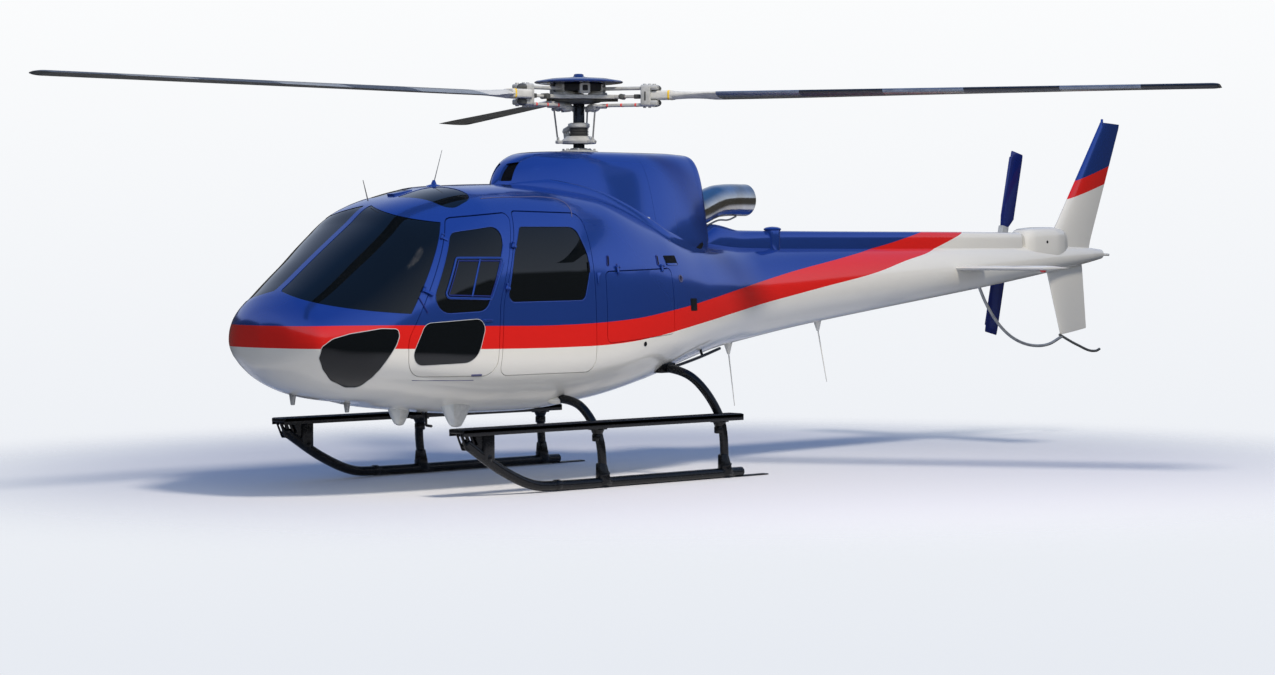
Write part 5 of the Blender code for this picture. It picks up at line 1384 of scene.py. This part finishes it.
def ground_gear():
    """Skids with their heels, shoes and slotted toes, footboards and cross tubes.

    Tubes are rings swept along smooth curves, boards and plates are outlines pushed across.
    """
    y = HALF_TRACK
    skid_path, skid_radius = round_ends(curve_through([(x, y, z) for x, z in SKID_PATH], 10), SKID_RADIUS)
    side = [sweep(skid_path, skid_radius, 28, (0, 1, 0))]
    side.append(block((-1.09, y - 0.035, 0.0), (-0.70, y + 0.035, 0.010), 0.003))
    side.append(rod((1.28, y, 0.046), (1.34, y, 0.047), 0.0455, sides=28))
    for x in (0.80, -0.60):
        side.append(rod((x, y, 0.03), (x + 0.02, y - 0.01, 0.20), 0.066, 0.042, 32))
        side.append(rod((x, y - 0.055, 0.045), (x, y + 0.055, 0.045), 0.014, sides=16))
        side.append(rod((x - 0.06, y, 0.045), (x + 0.06, y, 0.045), 0.0445, sides=28))
        side.append(rod((x + 0.005, y, 0.10), (x + 0.008, y, 0.115), 0.058, 0.056, 28))
    for across in (y - 0.028, y + 0.018):
        plate = cutter(rounded(TOE_BRACKET, 4), "xz", across, across + 0.010)
        slots = []
        for step in (0.0, 0.048, 0.096):
            outline = rounded([(u - step, v, r) for u, v, r in TOE_SLOT], 4)
            slots.append(cutter(outline, "xz", y - 0.2, y + 0.2))
        side.append(from_mesh(carve(plate, slots)))
    side.append(block((1.99, y - 0.045, 0.28), (2.11, y + 0.045, BOARD_Z - FIT), 0.012, 0.02))
    side.append(rod((2.05, y, 0.27), (2.05, y, 0.33), 0.052, 0.048, 28))
    board = [block((-0.75, y - 0.10, BOARD_Z), (2.35, y + 0.07, BOARD_Z + 0.033), 0.006, 0.02)]
    board.append(
        block((-0.74, y - 0.092, BOARD_Z + 0.03), (2.34, y + 0.062, BOARD_Z + 0.035), 0.001, 0.015, finish=1)
    )
    for near in (y - 0.10, y + 0.058):
        board.append(
            block((-0.75, near, BOARD_Z - 0.022), (2.34, near + 0.012, BOARD_Z + 0.03), 0.003, 0.004)
        )
    both_sides("skid_{}", side, ["black"], replaces=["landing_skid_{}"])
    both_sides("footboard_{}_tread", board, ["black", "tread"], replaces=["footboard_{}"])
    rows = (("front_cross_tube", FRONT_LEG, 0.84, 1.112), ("rear_cross_tube", REAR_LEG, -0.555, 1.115))
    for name, path, x, across in rows:
        forms = [leg(path)]
        for s in (across, -across):
            forms.append(rod((x, s, 0.37), (x, s, 0.43), 0.045, sides=32))
            forms.append(rod((x, s, 0.42), (x, s, 0.47), 0.036, 0.058, 32))
            forms.append(block((x - 0.075, s - 0.04, 0.464), (x + 0.075, s + 0.04, BOARD_Z - FIT), 0.003))
            for bolt in (x - 0.05, x + 0.05):
                forms.append(rod((bolt, s, 0.452), (bolt, s, 0.468), 0.010, sides=6))
        formed(name + "_bar", forms, ["black"], replaces=[name])
    clamp = [block((-0.40, 0.60, 0.87), (-0.28, 0.70, 0.955), 0.01, 0.02)]
    both_sides("rear_tube_clamp_{}", clamp, ["black"])
    fairing = [ball((0.885, 0.66, 0.688), (0.085, 0.085, 0.035), 28)]
    both_sides("front_tube_fairing_{}", fairing, ["white"])


def from_mesh(mesh):
    """A mesh in the frame of the solids as a form, its faces made triangles."""
    bm = bmesh.new()
    bm.from_mesh(mesh)
    bmesh.ops.triangulate(bm, faces=bm.faces)
    bm.to_mesh(mesh)
    bm.free()
    corners = np.zeros(len(mesh.loops), np.int32)
    mesh.loops.foreach_get("vertex_index", corners)
    points = points_of(mesh) - (MAST_X, 0, 0)
    return {"points": points, "quads": np.zeros((0, 4), int), "tris": corners.reshape(-1, 3), "finish": 0}


def blade():
    """One main blade along +X, its leading edge to -Y and raised by its pitch.

    Chord, thickness and pitch follow monotone curves along the span. The root is light, the nose
    of the section carries a metal strip, dark bands cross its upper side, and a yellow band marks
    the root.
    """
    table = np.array(BLADE)
    cuts = np.concatenate([np.linspace(a, b, 7, endpoint=False) for a, b in zip(table[:, 0], table[1:, 0])])
    starts, ends = np.array(BLADE_BANDS).T
    cuts = np.unique(np.concatenate([cuts, starts, ends, (table[-1, 0], BLADE_ROOT)]))
    rows = pchip(table[:, 0], table, cuts)
    chord, pitch = rows[:, 1], np.radians(rows[:, 3])
    across, up = chord * np.cos(pitch), chord * np.sin(pitch)
    front = np.stack([cuts, -BLADE_AHEAD * across, ROTOR_Z + BLADE_AHEAD * up], -1)
    rear = np.stack([cuts, (1 - BLADE_AHEAD) * across, ROTOR_Z - (1 - BLADE_AHEAD) * up], -1)
    skin = wing(list(zip(front, rear, rows[:, 2])), (0, 0, 1))
    sides = 2 * AEROFOIL_STEPS
    ring = np.arange(sides)
    nose = (ring < 5) | (ring >= sides - 5)
    outboard = cuts[:-1] >= BLADE_ROOT - 1e-6
    middles = (cuts[1:, None] + cuts[:-1, None]) / 2
    banded = ((middles > starts) & (middles < ends)).any(1)[:, None] & (
        nose | (ring < AEROFOIL_STEPS) | (ring >= sides - 12)
    )
    finish = np.where(banded, 4, np.where(outboard[:, None], np.where(nose, 3, 0)[None], 1)).ravel()
    skin["finish"] = np.append(finish, np.zeros(len(skin["tris"]), int))
    root = block((0.612, -0.0400, ROTOR_Z - 0.0350), (0.830, 0.1020, ROTOR_Z + 0.0410), 0.010, 0.020, "yz", 1)
    band = block((0.788, -0.0420, ROTOR_Z - 0.0370), (0.806, 0.1040, ROTOR_Z + 0.0430), 0.002, 0.021, "yz", 2)
    return [skin, root, band]


def sleeve():
    """The two beams that carry a blade, with flange, dampers, heel, pitch horn, bands and bolts.

    Beams are rectangles with round corners pushed along the blade; ball ends are ellipsoids.
    """
    z = ROTOR_Z
    dark, red = 1, 2
    forms = [
        block((0.15, -0.040, z + 0.050), (0.60, 0.040, z + 0.078), 0.008, 0.010, "yz"),
        block((0.150, -0.052, z + 0.036), (0.225, 0.052, z + 0.108), 0.006, 0.016, "yz"),
        block((0.145, -0.024, z + 0.050), (0.160, 0.024, z + 0.096), 0.004, 0.010, "yz", dark),
        block((0.20, -0.036, z - 0.090), (0.60, 0.036, z - 0.063), 0.008, 0.010, "yz"),
        ball((0.128, -0.004, z - 0.095), (0.062, 0.038, 0.036), 28),
        block((0.135, -0.032, z - 0.102), (0.245, 0.032, z - 0.066), 0.008, 0.014, "yz"),
        rod((0.205, -0.048, z - 0.082), (0.205, 0.036, z - 0.082), 0.018, sides=32),
        block((0.560, -0.066, z - 0.090), (0.645, 0.066, z + 0.092), 0.010, 0.020, "yz"),
        block((0.635, -0.060, z + 0.046), (0.705, 0.010, z + 0.086), 0.010, 0.014, "yz"),
        block((0.635, -0.060, z - 0.088), (0.705, 0.010, z - 0.040), 0.010, 0.016, "yz"),
        # The dampers take the darker grey: painted shade on light grey parts.
        ball((0.668, 0.030, z + 0.060), (0.050, 0.038, 0.032), 28, dark),
        ball((0.668, 0.030, z - 0.060), (0.050, 0.038, 0.034), 28, dark),
        rod((0.672, -0.030, z + 0.080), (0.672, -0.030, z + 0.098), 0.016, sides=6),
        rod((0.672, -0.030, z - 0.098), (0.672, -0.030, z - 0.084), 0.016, sides=6),
        block((0.155, -0.150, z - 0.094), (0.245, -0.02, z - 0.072), 0.006, 0.030),
        block((0.594, -0.0675, z - 0.045), (0.608, 0.0675, z + 0.035), 0.001, 0.006, "yz", dark)
    ]
    for x in (0.580, 0.625):
        forms.append(rod((x, 0, z + 0.086), (x, 0, z + 0.102), 0.014, sides=6))
        forms.append(rod((x, 0, z - 0.102), (x, 0, z - 0.085), 0.014, sides=6))
    for x in (0.252, 0.375, 0.500):
        forms.append(
            block((x, -0.0370, z - 0.0910), (x + 0.016, 0.0370, z - 0.0620), 0.001, 0.010, "yz", red)
        )
    forms.append(rod((0.36, 0, z - 0.005), (0.50, 0, z - 0.005), 0.013, sides=20))
    forms.append(block((0.49, -0.018, z - 0.024), (0.54, 0.018, z + 0.014), 0.004, 0.008, "yz", dark))
    return forms


def main_rotor():
    """Mast, swashplate, star, sleeves, blades and cap.

    What is round is a profile carried round the mast, the bellows' as mean + swing cos(folds),
    and the star is an outline of three arms pushed up.
    """
    body = "main_rotor"
    z = ROTOR_Z
    mast = [rod((0, 0, 2.6003), (0, 0, z - 0.055), 0.048, sides=48)]
    formed("mast_tube", mast, ["mast"], body, ["rotor_mast"])
    bolts = []
    for angle in range(0, 360, 45):
        bolts += about_z([rod((0.132, 0, 2.742), (0.132, 0, 2.762), 0.011, sides=6)], angle)
    formed("mast_flange", [turned(COLLAR), *bolts], ["casting"], replaces=["mast_collar"])
    low, high, small, large, folds = BELLOWS
    rise = np.linspace(low, high, folds * 6 + 1)
    fold = (small + large) / 2 - (large - small) / 2 * np.cos(2 * np.pi * folds * (rise - low) / (high - low))
    plate = [turned(LOWER_RING), turned(UPPER_RING), turned(np.stack([fold, rise], -1), finish=1)]
    (x, y), (top_x, top_y) = LINK_AT, HORN_AT
    lug = [(0.06, -0.10, 0.02), (x + 0.02, y - 0.022, 0.012), (x + 0.02, y + 0.022, 0.012)]
    lug.append((0.11, -0.02, 0.02))
    for angle in BLADE_ANGLES:
        link = [
            rod((x, y, 2.812), (top_x, top_y, z - 0.098), 0.0072, sides=16, finish=2),
            rod((x, y - 0.018, 2.818), (x, y + 0.018, 2.818), 0.015, sides=24),
            rod((top_x, top_y - 0.018, z - 0.106), (top_x, top_y + 0.018, z - 0.106), 0.014, sides=24),
            rod((x, y, 2.83), (x + 0.002, y, 2.86), 0.012, 0.010, 16),
            slab(rounded(lug, 5), "xy", 2.805, 2.831, 0.004)
        ]
        plate += about_z(link, angle)
    turn = np.linspace(0, 2 * np.pi, 24, endpoint=False)
    eye = np.stack([0.150 + 0.022 * np.cos(turn), 0 * turn, 2.882 + 0.026 * np.sin(turn)], -1)
    levers = (
        (((0.07, 2.978, 0.008), (0.196, 2.935, 0.014), (0.192, 2.892, 0.014), (0.07, 2.940, 0.008)), 0.018),
        (((0.160, 2.918, 0.008), (0.194, 2.925, 0.008), (0.176, 2.81, 0.008), (0.142, 2.81, 0.008)), 0.016)
    )
    arm = [slab(rounded(outline, 5), "xz", -half, half, 0.003) for outline, half in levers]
    arm.append(rod((0.178, -0.024, 2.912), (0.178, 0.024, 2.912), 0.016, sides=20))
    arm.append(sweep(eye, 0.008, 10, (0, 1, 0), closed=True))
    plate += about_z(arm, LEVER_ANGLE)
    formed(
        "swashplate_rings", plate, ["casting", "bellows", "grey_tube"], body,
        ["rotating_swashplate"]
    )

    # The drum under the cap is dull charcoal: painted shade under the cap.
    star = [turned(STAR_HUB, finish=1), turned(DRUM, finish=2)]
    plan = []
    for angle in BLADE_ANGLES:
        for r, turn in ((0.395, 0.0), (0.245, 24.0), (0.215, 60.0), (0.245, 96.0)):
            a = math.radians(angle + turn)
            plan.append((r * math.cos(a), r * math.sin(a), 0.02))
    outline = rounded(plan, 4)
    star.append(slab(outline, "xy", z - 0.022, z + 0.012, 0.008))
    star.append(slab(drawn_in(outline, 0.05), "xy", z - 0.044, z - 0.020, 0.006, 1))
    for angle in BLADE_ANGLES:
        facet = [
            block((0.10, -0.075, z + 0.008), (0.235, 0.075, z + 0.036), 0.010, 0.02),
            block((0.10, -0.050, z + 0.030), (0.20, 0.050, z + 0.110), 0.006, 0.012),
            block((0.30, -0.042, z - 0.020), (0.40, 0.042, z + 0.010), 0.006, 0.012),
            rod((0.385, -0.045, z - 0.005), (0.385, 0.045, z - 0.005), 0.024, sides=28, finish=1)
        ]
        star += about_z(facet, angle)
        box = [
            block((0.16, -0.045, z + 0.022), (0.245, 0.045, z + 0.108), 0.006, 0.014, "yz"),
            block((0.236, -0.023, z + 0.042), (0.2475, 0.023, z + 0.090), 0.001, 0.010, "yz", 2)
        ]
        star += about_z(box, angle + 60)
    formed("rotor_star_plate", star, ["casting", "dark_casting", "dark"], body, ["rotor_star"])
    # The cap's navy is painted shade: a darker blue for the cap in shadow.
    formed("rotor_cap_dome", [turned(CAP, sides=96)], ["cap_blue"], body, ["rotor_cap"])
    for number, angle in enumerate(BLADE_ANGLES, 1):
        arms, skin = about_z(sleeve(), angle), about_z(blade(), angle)
        finishes = ["casting", "dark_casting", "red_mark"]
        formed(f"sleeve_{number}", arms, finishes, body, [f"blade_sleeve_{number}"])
        # The leading edge's bluish metal strip carries a painted reflection of the sky.
        finishes = ["blade", "blade_root", "yellow", "edge_strip", "blade_band"]
        formed(f"blade_{number}", skin, finishes, body, [f"main_blade_{number}"])


def tail_rotor():
    """Hub and two blades of the tail rotor: aerofoil sections up and down, tilted about the hub."""
    x, y, z = TAIL_HUB
    tilt = math.radians(-13.0)
    turn = np.array(((math.cos(tilt), 0, math.sin(tilt)), (0, 1, 0), (-math.sin(tilt), 0, math.cos(tilt))))

    def leaning(form):
        return moved(moved(form, by=-TAIL_HUB), turn, TAIL_HUB)

    hub = [
        rod((x, y + 0.1097, z), (x, y - 0.05, z), 0.032, sides=32),
        block((x - 0.05, y - 0.03, z - 0.16), (x + 0.05, y + 0.03, z + 0.16), 0.006, 0.01)
    ]
    hub += [rod((x, y - 0.03, h), (x, y - 0.048, h), 0.018, sides=24) for h in (z - 0.11, z + 0.11)]
    hub = [leaning(form) for form in hub]
    formed("tail_hub", hub, ["casting"], "tail_rotor", ["tail_rotor_hub"])
    stations = (
        (0.1603, 0.05, 0.07, 0.030), (0.26, 0.070, 0.138, 0.026), (0.86, 0.070, 0.138, 0.020),
        (0.868, 0.055, 0.138, 0.020), (0.918, 0.053, 0.135, 0.018), (0.93, 0.048, 0.128, 0.010)
    )
    for number, sign in enumerate((1, -1), 1):
        rows = [((x + a, y, z + sign * r), (x - b, y, z + sign * r), t) for r, a, b, t in stations]
        skin, owner = [leaning(wing(rows, (0, 1, 0)))], [f"tail_rotor_blade_{number}"]
        formed(f"tail_blade_{number}", skin, ["deep_blue"], "tail_rotor", owner)


def exhaust():
    """The exhaust pipe: a ring carried along its line outside and back inside, sooted within."""
    path = curve_through([(x, 0, z) for x, z in PIPE], 8)
    outer, inner = (
        sweep(path, radius, 64, (0, 1, 0))["points"][:-2].reshape(len(path), 64, 3)
        for radius in (PIPE_RADIUS, PIPE_RADIUS - PIPE_WALL)
    )
    skin = shell(np.concatenate([outer, inner[::-1]]), closed=True)
    skin["finish"] = np.repeat([0, 1], [len(path) * 64, len(path) * 64])
    formed("exhaust_pipe_skin", [skin], ["steel", "soot"], replaces=["exhaust_pipe"])


# Cabin


PAD_VOXEL = 0.012
PAD_CAP = 0.022
CHANNEL_DEPTH = 0.007
CHANNEL_WIDTH = 0.007


def pad_block(low, high):
    """A pad's starting shape: a box with wide rounds, its rims rounded by 0.3 of the shortest side."""
    thin = int(np.argmin(np.subtract(high, low)))
    return block(low, high, 0.3 * (high[thin] - low[thin]), 0.06, ("yz", "xz", "xy")[thin])


def inflated(name, form, cap=PAD_CAP):
    """A pad's mesh blown up by cloth simulation, each point held within the cap of where it began."""
    start = placed("pad", as_mesh(name, [form]))
    remesh = start.modifiers.new("remesh", "REMESH")
    remesh.mode = "VOXEL"
    remesh.voxel_size = PAD_VOXEL
    mesh = settled(start)
    bpy.data.objects.remove(start)
    item = placed("pad", mesh)
    cloth = item.modifiers.new("cloth", "CLOTH")
    cloth.settings.use_pressure = True
    cloth.settings.uniform_pressure_force = 4.0
    cloth.settings.quality = 4
    cloth.settings.effector_weights.gravity = 0.0
    cloth.point_cache.frame_start = 1
    cloth.point_cache.frame_end = 20
    scene = bpy.context.scene
    for step in range(1, 21):
        scene.frame_set(step)
    swollen = settled(item)
    before = points_of(mesh)
    shift = points_of(swollen) - before
    length = np.linalg.norm(shift, axis=1, keepdims=True)
    shift *= np.minimum(1.0, cap / np.maximum(length, 1e-9))
    swollen.vertices.foreach_set("co", (before + shift).ravel())
    bpy.data.objects.remove(item)
    scene.frame_set(1)
    return swollen


def channelled(mesh, places):
    """Sewn channels across at each y: points sink along their normals by depth exp(-(distance / width)^2)."""
    item = placed("pad", mesh)
    smooth = item.modifiers.new("smooth", "SUBSURF")
    smooth.levels = smooth.render_levels = 1
    fine = settled(item)
    bpy.data.objects.remove(item)
    points = points_of(fine)
    normals = np.zeros(points.size, np.float32)
    fine.vertex_normals.foreach_get("vector", normals)
    normals = normals.reshape(-1, 3)
    for place in places:
        away = (points[:, 1] - place) / CHANNEL_WIDTH
        points -= normals * (CHANNEL_DEPTH * np.exp(-(away**2)))[:, None]
    fine.vertices.foreach_set("co", points.ravel())
    fine.update()
    return fine


def pad_piece(name, mesh):
    """A pad in its cloth."""
    item = piece(name, mesh, ["cloth"], "airframe", sharp=80.0)


def leaned(mesh, degrees):
    """A front seat's back turned about its foot."""
    pivot = Matrix.Translation((1.45 + MAST_X, 0, 1.1))
    mesh.transform(pivot @ Matrix.Rotation(math.radians(degrees), 4, "Y") @ pivot.inverted())
    return mesh


def shifted(mesh, y):
    """A copy of a mesh moved across the machine: y is added to each point's own."""
    other = mesh.copy()
    other.transform(Matrix.Translation((0, y, 0)))
    return other


def seats():
    """Padded front seats and a padded bench of three places, on stands pushed up from outlines."""
    base = [block((1.48, 0.27, FLOOR_Z + FIT), (1.88, 0.59, 1.03), 0.01, 0.03)]
    base.append(block((1.34, 0.25, 1.02), (1.90, 0.61, 1.045), 0.006, 0.03))
    both_sides("front_seat_{}_stand", base, ["console"], replaces=["front_seat_{}"])
    cushion = inflated("cushion", pad_block((1.45, 0.21, 1.05), (1.93, 0.65, 1.145)))
    cushion = channelled(cushion, (0.33, 0.53))
    back = channelled(inflated("back", pad_block((1.41, 0.21, 1.13), (1.49, 0.65, 1.75))), (0.33, 0.53))
    rest = channelled(inflated("rest", pad_block((1.31, 0.32, 1.755), (1.37, 0.54, 1.925)), 0.012), ())
    leaned(back, -10)
    stand = [block((0.70, -0.70, FLOOR_Z + FIT), (1.10, 0.70, 0.99), 0.01, 0.03)]
    formed("rear_bench_stand", stand, ["console"], replaces=["rear_bench"])

    def put(side, flip):
        for label, mesh in (("cushion", cushion), ("back", back), ("headrest", rest)):
            pad_piece(f"front_seat_{side}_{label}", flip(mesh.copy()))

    both(put)
    place = inflated("place", pad_block((0.76, -0.245, 1.005), (1.20, 0.245, 1.115)))
    place = channelled(place, (-0.12, 0.12))
    upright = inflated("upright", pad_block((0.67, -0.215, 1.13), (0.75, 0.215, 1.76)))
    upright = channelled(upright, (-0.11, 0.11))
    for label, mesh, apart in (("cushion", place, 0.505), ("back", upright, 0.455)):
        for number, y in enumerate((-apart, 0.0, apart), 1):
            pad_piece(f"bench_{label}_{number}", shifted(mesh, y))
    rods = []
    for y in (0.37, 0.49):
        rods.append(rod((1.37, y, 1.68), (1.34, y, 1.79), 0.006, sides=12))
    both_sides("headrest_{}_posts", rods, ["steel"])


# Rows of dials as (z, radius), and their places across.
DIAL_ROWS = ((1.45, 0.042), (1.32, 0.036))
DIAL_PLACES = (0.20, 0.07, -0.07, -0.20)
DIAL_X = 2.398


def cabin_inside():
    """Finishes of what stays from the solids, with dials, sticks and pedals added.

    Dials are profiles carried round X; sticks are rings swept along smooth curves.
    """
    finishes = {
        "cabin_floor": "carpet", "instrument_console": "console", "rotor_gearbox": "dark_casting",
        "engine_block": "dark_casting"
    }
    for name, finish in finishes.items():
        mesh = frame["nodes"][name].data
        mesh.materials.clear()
        mesh.materials.append(FINISH[finish])
    dials = []
    for z, size, y in [(z, size, y) for z, size in DIAL_ROWS for y in DIAL_PLACES]:
        face = [(0.004, 0.0), (size, 0.0), (size, -0.006), (0.004, -0.006)]
        ring = [
            (size - 0.004, -0.002), (size, -0.006), (size + 0.004, -0.006), (size + 0.005, 0.002),
            (size - 0.004, 0.002)
        ]
        dials.append(turned(face, (DIAL_X, y, z), "x", 32, 0))
        dials.append(turned(ring, (DIAL_X, y, z), "x", 32, 1))
        low, high = (2.3895, y - 0.002, z - 0.004), (2.3915, y + 0.002, z + 0.7 * size)
        dials.append(block(low, high, 0.0005, 0.001, finish=1))
    formed("instrument_dials", dials, ["dial", "grey_tube"])
    stick = curve_through([(2.02, 0.43, 0.80), (2.05, 0.43, 0.98), (2.00, 0.43, 1.16), (1.99, 0.43, 1.32)], 6)
    grip = rod((1.99, 0.43, 1.28), (1.985, 0.43, 1.41), 0.018, 0.022, 20, finish=1)
    lever = curve_through([(1.55, 0.16, 0.86), (1.75, 0.16, 0.98), (1.92, 0.16, 1.07)], 6)
    controls = [sweep(*round_ends(stick, 0.011), sides=14), grip]
    controls.append(sweep(*round_ends(lever, 0.012), sides=14))
    controls.append(rod((1.88, 0.16, 1.05), (1.98, 0.16, 1.10), 0.018, 0.018, 20, finish=1))
    for y in (0.33, 0.53):
        controls.append(rod((2.56, y, 0.80), (2.60, y, 0.95), 0.009, sides=12))
        controls.append(block((2.585, y - 0.045, 0.94), (2.605, y + 0.045, 1.03), 0.004, 0.01, "yz"))
    both_sides("pilot_controls_{}", controls, ["grey_tube", "rubber"])


# Stage


def soft_fade(tree, low, high):
    """A value that is 1 within low metres of the origin and 0 beyond high."""
    far = node(
        tree, "ShaderNodeVectorMath", {"operation": "LENGTH"}, {"Vector": place_of(tree)}
    ).outputs["Value"]
    return node(
        tree, "ShaderNodeMapRange", {"interpolation_type": "SMOOTHERSTEP"}, {"Value": far}, From_Min=low,
        From_Max=high, To_Min=1.0, To_Max=0.0
    ).outputs["Result"]


def studio_world():
    """A pale ground and backdrop for the lens, and for everything else a sky over a dark low horizon."""
    world = bpy.data.worlds.new("studio")
    bpy.context.scene.world = world
    world.use_nodes = True
    tree = world.node_tree
    tree.nodes.clear()
    place = node(tree, "ShaderNodeTexCoord").outputs["Generated"]
    height = node(tree, "ShaderNodeSeparateXYZ", links={"Vector": place}).outputs["Z"]
    rise = spread(tree, height, 0.0, 1.0, -0.145, 0.085)
    seen = node(tree, "ShaderNodeBackground", links={"Color": mix(tree, rise, "#E7EBF2", "#FBFCFD")})
    hills = maths(tree, "MULTIPLY", grain(tree, 5.0, 4.0, 0.5, place), 0.10)
    edge = maths(tree, "SUBTRACT", height, hills)
    share = spread(tree, edge, 0.0, 1.0, 0.135, 0.155)
    zenith = spread(tree, height, 0.0, 1.0, 0.1, 0.85)
    sky = mix(tree, zenith, "#DDE8FA", "#4472B4")
    given = node(
        tree, "ShaderNodeBackground", links={"Color": mix(tree, share, "#4B4A48", sky)}, Strength=SKY_STRENGTH
    )
    pick = node(tree, "ShaderNodeLightPath").outputs["Is Camera Ray"]
    final = node(tree, "ShaderNodeMixShader", links={"Fac": pick})
    tree.links.new(given.outputs[0], final.inputs[1])
    tree.links.new(seen.outputs[0], final.inputs[2])
    node(tree, "ShaderNodeOutputWorld", links={"Surface": final.outputs[0]})


SKY_STRENGTH = 0.95
LAMPS = (("key", (3.2, 8.5, 13.0), 2.6, 2300, "#FFF3E2"), ("fill", (14.0, 13.0, 4.5), 6.0, 700, "#FFF8F0"))
FLOOR_FADE = (3.2, 8.5)


def stage():
    """A pale floor of rings that fades into the backdrop, soft light, and the picture's camera."""
    angle = round_turn(96)
    radius = np.linspace(0.05, 1.0, 24) * (FLOOR_FADE[1] + 0.5)
    grid = radius[:, None, None] * np.stack([np.cos(angle), np.sin(angle), 0 * angle], -1)[None]
    floor_mesh = bpy.data.meshes.new("floor")
    form = shell(grid)
    floor_mesh.from_pydata(
        (form["points"] - (0, 0, 0.002)).tolist(), [], form["quads"].tolist() + form["tris"][:96].tolist()
    )
    placed("floor", floor_mesh)
    material, tree, shader = new_material("matt_floor_paint", "#D3D5D9", 0.95)
    clear = node(tree, "ShaderNodeBsdfTransparent")
    blend = node(tree, "ShaderNodeMixShader", links={"Fac": soft_fade(tree, *FLOOR_FADE)})
    tree.links.new(clear.outputs[0], blend.inputs[1])
    tree.links.new(shader.outputs[0], blend.inputs[2])
    tree.links.new(blend.outputs[0], tree.nodes["Material Output"].inputs["Surface"])
    floor_mesh.materials.append(material)
    studio_world()
    for name, place, size, power, colour in LAMPS:
        light = bpy.data.lights.new(name, "AREA")
        light.shape = "DISK"
        light.size = size
        light.energy = power
        light.color = linear(colour)[:3]
        lamp = placed(name, light)
        lamp.visible_glossy = False
        lamp.location = place
        lamp.rotation_mode = "QUATERNION"
        lamp.rotation_quaternion = (Vector((0, 0, 1.5)) - Vector(place)).to_track_quat("-Z", "Y")

    camera_data = bpy.data.cameras.new("camera")
    camera_data.lens = CAMERA_LENS
    camera_data.clip_end = 400
    camera = placed("camera", camera_data)
    level = math.cos(CAMERA_PITCH)
    ahead = Vector(
        (math.cos(CAMERA_HEADING) * level, math.sin(CAMERA_HEADING) * level, math.sin(CAMERA_PITCH))
    )
    across = ahead.cross(Vector((0, 0, 1))).normalized()
    right = across * math.cos(CAMERA_ROLL) + across.cross(ahead) * math.sin(CAMERA_ROLL)
    top = right.cross(ahead)
    camera.matrix_world = Matrix.Translation(CAMERA_AT) @ Matrix((right, top, -ahead)).transposed().to_4x4()
    bpy.context.scene.camera = camera
    bpy.context.scene.view_settings.view_transform = "Standard"


OUTER, INNER = hull()
panes_and_doors(OUTER, INNER)
trim()
cowlings(OUTER)
tail()
roof_and_belly()
ground_gear()
main_rotor()
tail_rotor()
exhaust()
seats()
cabin_inside()
stage()

bpy.context.view_layer.update()
